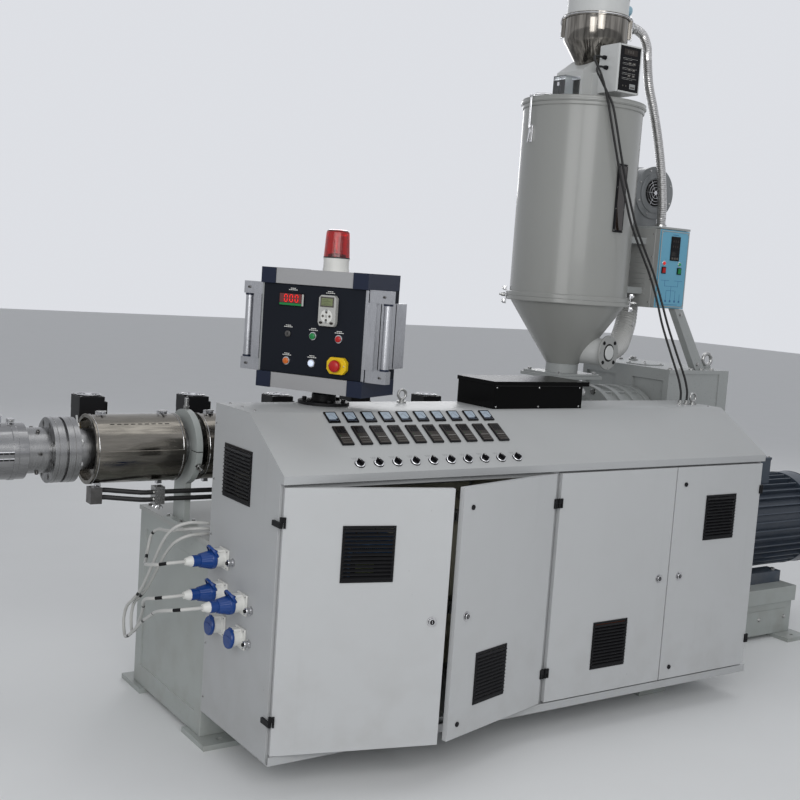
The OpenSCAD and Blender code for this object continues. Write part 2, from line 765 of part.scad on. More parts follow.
// Black fan boxes behind the covers, each with a round guard ring on top
module cooling_fans() color("black") in_frame() {
    for (i = [0:4]) {
        x = zone_x[i] + 66;
        y = cover_r + 8;
        difference() {
            box([x - 48, y, axis_height - 60], [x + 48, y + 100, axis_height + 172]);
            translate([x, y + 50, axis_height + 140]) cylinder(h = 40, r = 42);
        }
        box([x - 30, cover_r + 3 + seat, axis_height - 40], [x + 30, y, axis_height + 60]);
        translate([x, y + 50, axis_height + 130]) cylinder(h = 38, r = 16);
        for (a = [0:3]) {
            translate([x, y + 50, axis_height + 150]) rotate([0, 0, a * 90 + 45])
                translate([14, -3, 0]) cube([31, 6, 8]);
        }
        translate([x, y + 50, axis_height + 172]) rotate_extrude() translate([42, 0]) square([5, 6]);
        box([x + 48, y + 22, axis_height + 60], [x + 68, y + 78, axis_height + 150]);
    }
}

// Feed section under the dryer, with its square flange plate
module feed_block() color("gainsboro") in_frame() {
    difference() {
        union() {
            box([dryer_place - feed_half, -feed_half, axis_height - 120], [dryer_place + feed_half, feed_half, axis_height + 150]);
            translate([dryer_place, 0, axis_height + 150]) cylinder(h = feed_top_z - axis_height - 165, r = throat_r + 12);
            box([dryer_place - 135, -135, feed_top_z - 15], [dryer_place + 135, 135, feed_top_z]);
            box([dryer_place - 90, -110, bed_height], [dryer_place + 90, 110, axis_height - 120]);
        }
        translate([dryer_place, 0, axis_height]) cylinder(h = feed_top_z, r = throat_r - 12);
    }
}

// Dryer

// Neck of the dryer with its square flange, on the feed section
module dryer_neck() color("gainsboro") in_frame() {
    translate([dryer_place, 0, feed_top_z]) difference() {
        union() {
            translate([-125, -125, 0]) cube([250, 250, 10]);
            cylinder(h = throat_top_z - feed_top_z, r = throat_r);
            for (x = [-1, 1], y = [-1, 1]) {
                translate([x * 105, y * 105, 10]) cylinder(h = 9, r = 10, $fn = 6);
            }
        }
        translate([0, 0, -1]) cylinder(h = 60, r = throat_r - 12);
    }
}

module dryer_cone() color("lightgray") in_frame() {
    translate([dryer_place, 0, 0]) difference() {
        union() {
            translate([0, 0, throat_top_z]) cylinder(h = cone_height - 18, r1 = throat_r, r2 = dryer_r - 6);
            translate([0, 0, drum_bottom_z - 18]) cylinder(h = 18, r = dryer_r + 12);
        }
        translate([0, 0, throat_top_z - 0.5]) cylinder(h = cone_height + 1, r1 = throat_r - 12, r2 = dryer_r - dryer_wall);
    }
}

module dryer_drum() color("lightgray") in_frame() {
    translate([dryer_place, 0, drum_bottom_z]) difference() {
        union() {
            cylinder(h = drum_height, r = dryer_r);
            cylinder(h = 18, r = dryer_r + 12);
            translate([0, 0, drum_height - 14]) cylinder(h = 14, r = dryer_r + 6);
        }
        translate([0, 0, -1]) cylinder(h = drum_height + 2, r = dryer_r - dryer_wall);
    }
}

module dryer_lid() color("lightgray") in_frame() {
    translate([dryer_place, 0, drum_top_z]) {
        cylinder(h = lid_h, r = dryer_r + 10);
        translate([0, 0, 4]) cylinder(h = 8, r = dryer_r + 13);
    }
}

// Toggle latches, the clamps on the lower flange and the sight window
module dryer_fittings() color("silver") in_frame() {
    out = dryer_r + seat;
    translate([dryer_place, 0, 0]) {
        for (a = latch_angles) {
            rotate([0, 0, a]) translate([0, 0, drum_top_z]) {
                box([out, -9, -175], [out + 14, 9, -100]);
                box([dryer_r + 14, -5, -110], [dryer_r + 19, 5, lid_h + 10]);
                box([dryer_r + 3, -10, lid_h], [dryer_r + 24, 10, lid_h + 12]);
            }
        }
        for (a = clamp_angles) {
            rotate([0, 0, a]) translate([dryer_r + 12 + seat, 0, drum_bottom_z]) {
                box([0, -17, -42], [18, 17, 42]);
                rotate([0, 90, 0]) cylinder(h = 34, r = 9);
            }
        }
        rotate([0, 0, window_angle]) translate([out, 0, drum_bottom_z + 308]) box([0, -30, 0], [10, 30, 298]);
    }
}

latch_angles = [174, 354];
clamp_angles = [140, -40];
window_angle = -87;

// Heater box of the hot air unit with its panel, on arms from the drum and a strut from the gearbox
module hot_air_unit() color("silver") in_frame() {
    difference() {
        union() {
            box([heater_x, -205, heater_z], [heater_x + heater_w, -45, heater_top_z]);
            for (z = [heater_z + 60, heater_z + 290]) {
                box([dryer_place + 200, -150, z], [heater_x, -70, z + 30]);
            }
        }
        translate([dryer_place, 0, heater_z]) cylinder(h = 400, r = dryer_r + seat);
    }
    box([heater_x + 3, -232, heater_z + 2], [heater_x + heater_w - 3, -205, heater_top_z - 2]);
    box([heater_x + 14, -236, heater_z + 12], [heater_x + heater_w - 14, -232, heater_top_z - 12]);
    rotate([90, 0, 0]) translate([0, 0, 190]) linear_extrude(40) polygon([
        [heater_x + 144, heater_z], [heater_x + heater_w, heater_z],
        [heater_x + 394, gearbox_top_z], [heater_x + 326, gearbox_top_z]
    ]);
}

heater_x = 2224;
heater_w = 201;
heater_z = 1670;
heater_top_z = 2035;
base_plate = 10;

// Blower on the heater box: base plate, scroll, its motor behind, outlet duct and hose collar
module hot_air_blower() color("slategray") in_frame() {
    box([heater_x + 2, -232, heater_top_z], [heater_x + heater_w, 68, heater_top_z + base_plate]);
    translate([blower_x, 0, 2215]) rotate([90, 0, 0]) {
        translate([0, 0, -85]) cylinder(h = 105, r = 125);
        translate([0, 0, 20]) cylinder(h = 6, r = 96);
        translate([0, 0, -235]) cylinder(h = 150, r = 66);
    }
    box([blower_x - 115, -12, heater_top_z + base_plate], [blower_x + 36, 78, 2200]);
    translate([foil_end[0], foil_end[1], heater_top_z + base_plate]) cylinder(h = 20, r = 27);
}

blower_x = 2386;
foil_end = [2378, -84];

// Wrapped supply duct behind the heater box, down to the round inlet on the cone
module hot_air_hose() color("white") in_frame() {
    difference() {
        union() {
            cord(route_points(hose_route, 4), hose_r, 16);
            translate([inlet_x, inlet_y, inlet_z]) rotate([90, 0, inlet_turn]) {
                translate([0, 0, -150]) cylinder(h = 145, r = 62);
                translate([0, 0, -9]) cylinder(h = 9, r = 79);
                cylinder(h = 6, r = 33);
            }
        }
        translate([dryer_place, 0, throat_top_z + seat * 1.2]) cylinder(
            h = cone_height + 42, r1 = throat_r + seat * 1.5,
            r2 = throat_r + seat * 1.5 + (dryer_r - 6 - throat_r) / (cone_height - 18) * (cone_height + 42));
        translate([dryer_place, 0, throat_top_z - 200]) cylinder(h = 201, r = throat_r + 2);
    }
}

hose_r = 50;
hose_route = [
    [2303, 12, 2035], [2303, 12, 1960], [2303, 12, 1700], [2302, 11, 1650], [2285, -2, 1590], [2240, -30, 1530],
    [2180, -70, 1484], [2110, -105, 1462], [2050, -130, 1456]
];
inlet_x = 1998;
inlet_y = -200;
inlet_z = 1453;
inlet_turn = 13;

// Foil hose that takes the air back from the loader to the blower
module return_air_hose() color("silver") in_frame() {
    cord(route_points(foil_route, 3), foil_r, 12);
}

foil_r = 22;
foil_route = [
    [2118, -50, 2935], [2128, -50, 2935], [2140, -50, 2935], [2184, -52, 2914], [2210, -56, 2868], [2216, -60, 2808],
    [2238, -62, 2699],
    [2280, -64, 2591], [2324, -68, 2458], [2356, -74, 2321], [2374, -82, 2182], [2378, -84, 2110], [2378, -84, 2088],
    [2378, -84, 2065]
];

// Vacuum loader on the lid: stand, sight box, hopper with its rim clips, and motor head
module vacuum_loader() color("silver") in_frame() {
    translate([loader_x, 0, drum_top_z + lid_h]) {
        translate([0, loader_back, 0]) rotate([90, 0, 0]) linear_extrude(loader_back - loader_front)
            polygon([[-118, 0], [122, 0], [122, 215], [-13, 215], [-118, 140]]);
        box([-205, -50, 0], [-118, 30, 105]);
        box([-60, control_back, 33], [20, loader_front, 133]);
        translate([0, 0, 142]) cylinder(h = 141, r1 = 58, r2 = 144);
        translate([0, 0, 283]) cylinder(h = 95, r = 144);
        translate([0, 0, 378]) cylinder(h = 14, r = 150);
        translate([0, 0, 392]) cylinder(h = 190, r = 138);
        translate([0, 0, 582]) cylinder(h = 33, r1 = 138, r2 = 95);
        for (a = [-43, 137]) {
            rotate([0, 0, a]) box([138, -10, 300], [158, 10, 384]);
        }
        rod_x(120, 178, 25, -50, 368);
        rod_x(120, 190, 22, 0, 455);
    }
}

loader_x = 1940;
loader_front = -63;
loader_back = 110;

// Control box of the loader, with two cable glands on its side
module loader_controls() color("gainsboro") in_frame() {
    box([control_x, control_back - 120, control_z], [control_x + 140, control_back, control_z + 207]);
    box([control_x + 10, control_back - 123, control_z + 8], [control_x + 130, control_back - 120, control_z + 199]);
    for (p = [[-170, 2750], [-184, 2705]]) {
        rod_x(control_x - 20, control_x, 10, p[0], p[1]);
    }
}

control_x = 1853;
control_back = -130;
control_z = 2599;

// Drive

module thrust_housing() color("gray") in_frame() {
    rod_x(thrust_x, gearbox_x, thrust_r - 14, 0, axis_height);
    step = (gearbox_x - thrust_x - rib_w) / (rib_count - 1);
    for (i = [0:rib_count - 1]) {
        x = thrust_x + i * step;
        rod_x(x, x + rib_w, thrust_r, 0, axis_height);
    }
    rod_x(dryer_place + feed_half, thrust_x, thrust_r - 60, 0, axis_height);
}

module gearbox() color("gainsboro") in_frame() {
    x0 = gearbox_x;
    x1 = gearbox_x + gearbox_length;
    y0 = gearbox_front_y;
    y1 = gearbox_front_y + gearbox_width;
    difference() {
        box([x0, y0, low_height], [x1, y1, gearbox_top_z - 18]);
        for (y = [[y0 + 33, y0 + 236], [y0 + 350, y0 + 555]]) {
            box([x0 - 1, y[0], axis_height + 100], [x0 + 12, y[1], axis_height + 290]);
        }
    }
    box([x0, y0 - 5, gearbox_top_z - 18], [x1, y1 + 5, gearbox_top_z]);
    box([x0, y0 - 28, axis_height - 20], [x1, y1 + 28, axis_height + 20]);
    box([x1, y0 - 5, low_height], [x1 + gearbox_flange, y1 + 5, gearbox_top_z]);
    box([x0, y0 - 28, low_height], [x1 + gearbox_flange, y1 + 28, low_height + 25]);
    rod_x(x1 + gearbox_flange, x1 + gearbox_flange + 36, 120, 0, axis_height);
    rod_x(x1 + gearbox_flange, x1 + gearbox_flange + 36, 110, 0, motor_axis_z);
    for (z = [0, 1]) {
        for (i = [0:3]) {
            translate([x0 + 50 + i * 90, z == 0 ? y0 - 15 : y1 + 15, axis_height + 20]) cylinder(h = 12, r = 11, $fn = 6);
        }
    }
    translate([x1 + 34, y0 + 112, gearbox_top_z]) {
        cylinder(h = 14, r = 22);
        translate([0, 0, 44]) rotate([90, 0, 0]) rotate_extrude() translate([29, 0]) circle(r = 9, $fn = 24);
    }
}

module drive_motor() color("lightslategray") in_frame() {
    guard_x = gearbox_x + gearbox_length + gearbox_flange + 36;
    rod_x(guard_x, motor_x, 150, 0, motor_axis_z);
    rod_x(motor_x, motor_x + 30, motor_r - 20, 0, motor_axis_z);
    rod_x(motor_x + 30, motor_x + 30 + motor_length, motor_r - 30, 0, motor_axis_z);
    for (i = [0:35]) {
        translate([motor_x + 40, 0, motor_axis_z]) rotate([i * 10, 0, 0])
            translate([0, -3, motor_r - 34]) cube([motor_length - 20, 6, 34]);
    }
    rod_x(motor_x + 30 + motor_length, motor_x + motor_length + 150, motor_r, 0, motor_axis_z);
    for (s = [-1, 1]) {
        box([motor_x + 40, s * 190 - 45, low_height], [motor_x + 340, s * 190 + 45, low_height + 60]);
    }
    box([motor_x + 90, -110, motor_axis_z + motor_r - 50], [motor_x + 330, 110, motor_axis_z + motor_r + 110]);
}

// Cords

function lerp(a, b, t) = a + (b - a) * t;

// Point on a smooth curve through a route, at section i and share t of it
function on_route(p, i, t) =
    let (n = len(p), a = p[max(i - 1, 0)], b = p[i], c = p[min(i + 1, n - 1)], d = p[min(i + 2, n - 1)])
    0.5 * ((2 * b) + (c - a) * t + (2 * a - 5 * b + 4 * c - d) * t * t + (3 * b - a - 3 * c + d) * t * t * t);

// Rings of points on a route, with s steps in each of its sections
function route_points(p, s) = [
    for (i = [0:len(p) - 2], k = [0:s - 1]) on_route(p, i, k / s),
    p[len(p) - 1]
];

// Round cord swept along a list of points
module cord(points, r, sides = 8) {
    n = len(points);
    dir = [for (i = [0:n - 1]) let (v = points[min(i + 1, n - 1)] - points[max(i - 1, 0)]) v / norm(v)];
    up = [for (i = [0:n - 1]) let (h = abs(dir[i][2]) > 0.9 ? [1, 0, 0] : [0, 0, 1], c = cross(dir[i], h)) c / norm(c)];
    ring = [
        for (i = [0:n - 1], k = [0:sides - 1])
            let (a = 360 * k / sides, w = cross(dir[i], up[i]))
            points[i] + r * (cos(a) * up[i] + sin(a) * w)
    ];
    faces = [
        [for (k = [0:sides - 1]) k],
        for (i = [0:n - 2], k = [0:sides - 1])
            [i * sides + k, (i + 1) * sides + k, (i + 1) * sides + (k + 1) % sides, i * sides + (k + 1) % sides],
        [for (k = [sides - 1:-1:0]) (n - 1) * sides + k]
    ];
    polyhedron(points = ring, faces = faces, convexity = 10);
}

module barrel_conduits() color("dimgray") in_frame() {
    for (d = [0, -27]) {
        cord(route_points([for (p = conduit_route) p + [0, 0, d]], 3), 9);
    }
    box([-342, -46, 844], [-300, 4, 903]);
    difference() {
        box([-112, -82, 838], [-74, -38, 904]);
        for (d = [0, -27]) {
            rod_x(-130, -60, 9 + seat, -60, 881 + d);
        }
    }
}

conduit_route = [
    [-300, -21, 890], [-280, -22, 890], [-240, -34, 887], [-180, -52, 883], [-140, -60, 881], [-50, -60, 881],
    [60, -66, 881], [200, -70, 881], [800, -70, 881], [1400, -70, 881]
];

// Routes, as points from the die end of the bed
loader_route_1 = [
    [1833, -170, 2750], [1815, -170, 2750], [1780, -181, 2744], [1753, -214, 2718], [1752, -250, 2670],
    [1769, -267, 2610], [1789, -274, 2550], [1816, -284, 2447], [1845, -292, 2344], [1877, -299, 2240],
    [1912, -310, 2135], [1949, -322, 2029], [2004, -334, 1924], [2060, -350, 1817], [2096, -372, 1709],
    [2120, -396, 1600], [2152, -430, 1480], [2184, -461, 1370], [2195, -473, 1312], [2196, -475, 1288], [2196, -475, 1270]
];
loader_route_2 = [
    [1833, -184, 2705], [1818, -184, 2705], [1797, -188, 2701], [1782, -197, 2688], [1776, -210, 2671],
    [1777, -228, 2647], [1784, -252, 2608], [1797, -272, 2568], [1812, -285, 2528], [1833, -296, 2447],
    [1861, -303, 2345], [1894, -309, 2241], [1928, -320, 2136], [1966, -332, 2029], [2022, -344, 1924],
    [2078, -360, 1817], [2118, -382, 1700], [2150, -406, 1590], [2188, -438, 1470], [2222, -464, 1370],
    [2235, -474, 1312], [2236, -475, 1288], [2236, -475, 1270]
];
lead_route_1 = [
    [-150, -461, 720], [-170, -461, 720], [-206, -452, 717], [-234, -418, 706], [-238, -360, 692], [-218, -280, 672],
    [-182, -190, 650], [-146, -100, 630], [-118, -36, 622], [-94, 8, 648], [-84, 6, 702], [-82, -50, 736],
    [-82, -130, 750], [-80, -200, 766], [-66, -250, 780], [-30, -283, 788], [6, -290, 786], [32, -290, 785], [62, -290, 785]
];
lead_route_2 = [
    [-150, -461, 602], [-170, -461, 602], [-206, -452, 599], [-236, -416, 588], [-240, -356, 570], [-216, -270, 532],
    [-174, -170, 478], [-138, -50, 392], [-116, 50, 322], [-100, 120, 302], [-88, 160, 346], [-86, 140, 402],
    [-86, 80, 446], [-90, 0, 506], [-98, -100, 600], [-104, -190, 684], [-96, -254, 738], [-60, -278, 762],
    [-10, -276, 765], [32, -276, 764], [62, -276, 764]
];
lead_route_3 = [
    [-150, -617, 602], [-170, -617, 602], [-206, -608, 600], [-238, -572, 590], [-248, -510, 572], [-232, -420, 540],
    [-200, -300, 490], [-172, -160, 424], [-150, -30, 350], [-132, 80, 292], [-116, 150, 276], [-106, 192, 322],
    [-104, 172, 380], [-106, 110, 424], [-112, 20, 486], [-122, -80, 580], [-132, -180, 686], [-130, -240, 754],
    [-114, -284, 798], [-72, -303, 816], [-24, -304, 813], [14, -302, 809], [38, -302, 808], [62, -302, 808]
];

module loader_cable_1() color("black") in_frame() cord(route_points(loader_route_1, 3), cable_r);
module loader_cable_2() color("black") in_frame() cord(route_points(loader_route_2, 3), cable_r);
module lead_1() color("white") in_frame() cord(route_points(lead_route_1, 3), lead_r);
module lead_2() color("white") in_frame() cord(route_points(lead_route_2, 3), lead_r);
module lead_3() color("white") in_frame() cord(route_points(lead_route_3, 3), lead_r);

// Duct on the bed behind the cabinet that takes the leads
module cable_duct() color("gray") in_frame() {
    box([62, -318, bed_height], [1200, -262, bed_height + 70]);
}

bed_frame();
bed_top_plate();
bed_foot_plates();
cabinet_outriggers();
cabinet_ends();
cabinet_back();
cabinet_hood();
cabinet_frame();
cabinet_inner_plates();
cabinet_components();
hinge_pins();
end_vent();
ammeters();
temperature_controllers();
selector_knobs();
cabinet_fittings();
end_sockets();
door_1();
door_1_fittings();
door_2();
door_2_fittings();
door_3();
door_3_fittings();
door_4();
door_4_fittings();
top_box();
console_pedestal();
console_housing();
console_trim();
console_handles();
console_controls();
warning_beacon();
barrel();
barrel_flanges();
die_adapter();
heater_covers();
barrel_support();
cooling_fans();
feed_block();
dryer_neck();
dryer_cone();
dryer_drum();
dryer_lid();
dryer_fittings();
hot_air_unit();
hot_air_blower();
hot_air_hose();
return_air_hose();
vacuum_loader();
loader_controls();
thrust_housing();
gearbox();
drive_motor();
barrel_conduits();
cable_duct();
loader_cable_1();
loader_cable_2();
lead_1();
lead_2();
lead_3();
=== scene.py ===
"""Looks of a plastic extruder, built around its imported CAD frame.

Shapes are written in millimetres from the die end of the bed, as on the part's drawings: X runs
along the screw from the die to the motor, -Y is the operator's side, and Z is up from the floor.
They become metres in the frame of the CAD model when a piece is finished.
"""
from __future__ import annotations

import copy
import json
import logging
import math
from dataclasses import dataclass
from enum import Enum
from itertools import product
from typing import Callable, Sequence

import bmesh
import bpy
from mathutils import Matrix, Vector

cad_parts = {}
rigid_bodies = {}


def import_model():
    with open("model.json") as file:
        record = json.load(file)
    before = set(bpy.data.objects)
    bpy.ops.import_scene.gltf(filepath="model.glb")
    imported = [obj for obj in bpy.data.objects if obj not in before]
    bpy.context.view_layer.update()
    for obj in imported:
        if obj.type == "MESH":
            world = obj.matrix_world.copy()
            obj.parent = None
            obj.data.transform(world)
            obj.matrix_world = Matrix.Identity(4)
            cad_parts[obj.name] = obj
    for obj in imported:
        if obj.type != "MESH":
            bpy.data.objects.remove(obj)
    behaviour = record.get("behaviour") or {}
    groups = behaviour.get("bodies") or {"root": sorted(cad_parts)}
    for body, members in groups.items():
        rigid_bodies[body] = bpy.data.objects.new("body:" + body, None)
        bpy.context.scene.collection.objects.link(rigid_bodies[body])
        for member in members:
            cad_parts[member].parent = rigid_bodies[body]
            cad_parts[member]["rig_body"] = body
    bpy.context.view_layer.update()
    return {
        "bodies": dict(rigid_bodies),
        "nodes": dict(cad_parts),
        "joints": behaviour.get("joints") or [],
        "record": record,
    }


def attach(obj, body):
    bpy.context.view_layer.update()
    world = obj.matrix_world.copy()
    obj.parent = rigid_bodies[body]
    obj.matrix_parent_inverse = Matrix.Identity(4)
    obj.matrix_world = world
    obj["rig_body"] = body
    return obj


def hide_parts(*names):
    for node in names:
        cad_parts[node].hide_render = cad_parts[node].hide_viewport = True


LOG = logging.getLogger("extruder")
Point = Sequence[float]
Colour = tuple[float, float, float]
Test = Callable[[Vector, Vector], bool]
Socket = bpy.types.NodeSocket

BED_LENGTH = 3375.0
AXIS_Z = 1040.0
TO_METRES = Matrix.Translation((-BED_LENGTH / 2000, 0, 0)) @ Matrix.Scale(0.001, 4)
FROM_METRES = TO_METRES.inverted()


def shift(x: float, y: float, z: float) -> Matrix:
    """A move."""
    return Matrix.Translation((x, y, z))


def turn(angle: float, axis: str) -> Matrix:
    """A turn in degrees about X, Y or Z."""
    return Matrix.Rotation(math.radians(angle), 4, axis)


STILL = Matrix.Identity(4)
ALONG_X, BACK_X = turn(90, "Y"), turn(-90, "Y")
TO_FRONT, TO_BACK = turn(90, "X"), turn(-90, "X")
SIDES = ((-1, TO_FRONT), (1, TO_BACK))


class Shade(Enum):
    """The kinds of node tree that a finish can ask for."""

    PAINT = "paint"
    BRUSHED = "brushed"
    CAST = "cast"
    GLOW = "glow"
    GLASS = "glass"


@dataclass(frozen=True)
class Finish:
    """One finish: its base look, and how it varies over the surface."""

    name: str
    colour: Colour
    shade: Shade = Shade.PAINT
    rough: float = 0.45
    metal: float = 0.0
    grain: float = 900.0
    bump: float = 0.05
    mottle: float = 0.05
    grime: float = 0.0
    stretch: tuple[float, float, float] = (1.0, 1.0, 1.0)
    coat: float = 0.0
    glow: float = 0.0
    spec: float = 0.4


class Graph:
    """A small helper that fills a node tree."""

    def __init__(self, tree: bpy.types.NodeTree) -> None:
        """Works on an existing tree."""
        self.tree = tree

    def feed(self, entry: Socket, value: object) -> None:
        """Links a socket to an input, or writes a plain value there."""
        if isinstance(value, Socket):
            self.tree.links.new(value, entry)
        else:
            entry.default_value = value

    def node(self, kind: str, inputs: dict, out: str | int = 0, **settings: object) -> Socket:
        """Adds a node.

        Args:
            kind: the node's type.
            inputs: what goes into its inputs, each a socket or a plain value.
            out: which output is wanted.
            settings: its properties, by name.

        Returns:
            The output.
        """
        node = self.tree.nodes.new(kind)
        for key, value in settings.items():
            setattr(node, key, value)
        for key, value in inputs.items():
            self.feed(node.inputs[key], value)
        return node.outputs[out]

    def objects(self) -> Socket:
        """Object coordinates."""
        return self.node("ShaderNodeTexCoord", {}, "Object")

    def mapped(self, scale: Point = (1, 1, 1)) -> Socket:
        """Object coordinates, scaled per axis."""
        return self.node("ShaderNodeMapping", {"Scale": scale, "Vector": self.objects()})

    def noise(self, vector: Socket, scale: float, detail: float = 3.0) -> Socket:
        """A noise pattern's value."""
        return self.node("ShaderNodeTexNoise", {"Scale": scale, "Detail": detail, "Vector": vector}, "Fac")

    def ramp(self, value: Socket, low: float, high: float, a: float, b: float) -> Socket:
        """Maps low..high to a..b, held at the ends."""
        return self.node("ShaderNodeMapRange", {
            "From Min": low, "From Max": high, "To Min": a, "To Max": b, "Value": value}, "Result")

    def math(self, kind: str, a: Socket, b: Socket | float) -> Socket:
        """A sum, product or other operation on two values."""
        return self.node("ShaderNodeMath", {0: a, 1: b}, operation=kind)

    def mix(self, factor: Socket, a: Socket | Colour, b: Socket | Colour) -> Socket:
        """Mixes two colours, each a socket or a plain colour."""
        a, b = (c if isinstance(c, Socket) else (*c, 1.0) for c in (a, b))
        return self.node("ShaderNodeMix", {"Factor": factor, 6: a, 7: b}, 2, data_type="RGBA")


class Surface(Graph):
    """One material's node tree, with its shader's inputs."""

    def __init__(self, name: str) -> None:
        """Starts the tree with its shader and output."""
        self.material = bpy.data.materials.new(name)
        self.material.use_nodes = True
        super().__init__(self.material.node_tree)
        self.tree.nodes.clear()
        shown = self.node("ShaderNodeBsdfPrincipled", {}, "BSDF")
        self.shader = shown.node.inputs
        self.feed(self.tree.nodes.new("ShaderNodeOutputMaterial").inputs["Surface"], shown)

    def set(self, **values: object) -> None:
        """Feeds the shader's inputs, each named with _ for a space."""
        for key, value in values.items():
            self.feed(self.shader[key.replace("_", " ")], value)

    def bump(self, height: Socket, strength: float, distance: float) -> None:
        """Puts a bump on the shader's normal."""
        self.set(Normal=self.node("ShaderNodeBump", {
            "Strength": strength, "Distance": distance, "Height": height}, "Normal"))


def tint(colour: Colour, factor: float) -> Colour:
    """A colour made lighter or darker."""
    return tuple(min(1.0, c * factor) for c in colour)


class Finishes:
    """Builds each finish's material once, and hands it out by name."""

    dust = (0.23, 0.21, 0.18)
    chip = (0.10, 0.095, 0.09)
    clear = 0.97

    def __init__(self, finishes: Sequence[Finish]) -> None:
        """Keeps the finishes by name."""
        self.known = {f.name: f for f in finishes}
        self.made: dict[str, bpy.types.Material] = {}

    def get(self, name: str) -> bpy.types.Material:
        """The material of that name, built on its first use."""
        if name not in self.made:
            self.made[name] = self._build(self.known[name])
        return self.made[name]

    def _build(self, f: Finish) -> bpy.types.Material:
        """Builds one finish's node tree."""
        g = Surface(f.name)
        g.set(Metallic=f.metal, Coat_Weight=f.coat, Specular_IOR_Level=f.spec)
        plain = g.mapped()
        broad, patch = g.noise(plain, 1.7, 4.0), g.noise(plain, 9.0, 5.0)
        colour = g.mix(g.ramp(broad, 0.3, 0.7, 0, 1), tint(f.colour, 1 - f.mottle), tint(f.colour, 1 + f.mottle))
        if f.shade is Shade.BRUSHED:
            # Streaks that darken the colour along the stretched grain: brushing marks on most metals, and painted
            # reflection streaks where the mottle is strong, as on the polished hopper steel.
            streak = g.noise(g.mapped(f.stretch), f.grain, 3.0)
            colour = g.mix(g.ramp(streak, 0.38, 0.62, 0, 0.8), colour, tint(f.colour, 0.85 - 2 * f.mottle))
            smear = g.ramp(patch, 0.35, 0.7, -0.04, 0.08)
            rough = g.ramp(streak, 0.3, 0.7, max(0.05, f.rough - 0.08), f.rough + 0.1)
            g.set(Roughness=g.math("ADD", rough, smear))
            g.bump(streak, f.bump, 0.0004)
        elif f.shade is Shade.CAST:
            lumps = g.noise(plain, f.grain, 4.0)
            colour = g.mix(g.ramp(lumps, 0.55, 0.8, 0, 0.35), colour, tint(f.colour, 0.8))
            g.set(Roughness=g.ramp(lumps, 0.3, 0.7, max(0.05, f.rough - 0.1), f.rough + 0.1))
            g.bump(lumps, f.bump, 0.002)
        else:
            g.set(Roughness=g.ramp(broad, 0.25, 0.75, f.rough * 0.9, f.rough * 1.15))
            g.bump(g.noise(plain, f.grain, 2.0), f.bump, 0.0006)
        if f.grime > 0:
            colour = self._grime(g, colour, patch, f)
        g.set(Base_Color=colour)
        if f.shade is Shade.GLOW:
            g.set(Emission_Color=colour, Emission_Strength=f.glow)
        if f.shade is Shade.GLASS:
            g.set(Transmission_Weight=self.clear)
        return g.material

    def _grime(self, g: Surface, colour: Socket, patch: Socket, f: Finish) -> Socket:
        """Dust that gathers towards the floor, faint run marks, and small dark chips."""
        height = g.node("ShaderNodeSeparateXYZ", {0: g.objects()}, "Z")
        low = g.ramp(height, 0.0, 0.6, 1.0, 0.15)
        share = g.math("MULTIPLY", g.math("MULTIPLY", low, g.ramp(patch, 0.45, 0.75, 0.0, 1.0)), f.grime)
        dusty = g.mix(share, colour, self.dust)
        runs = g.ramp(g.noise(g.mapped((30, 30, 1.2)), 1.0, 4.0), 0.62, 0.8, 0.0, f.grime * 0.35)
        streaked = g.mix(runs, dusty, tint(f.colour, 0.6))
        chips = g.ramp(g.noise(g.mapped(), 46.0, 6.0), 0.74, 0.77, 0.0, min(1.0, f.grime * 1.2))
        return g.mix(chips, streaked, self.chip)


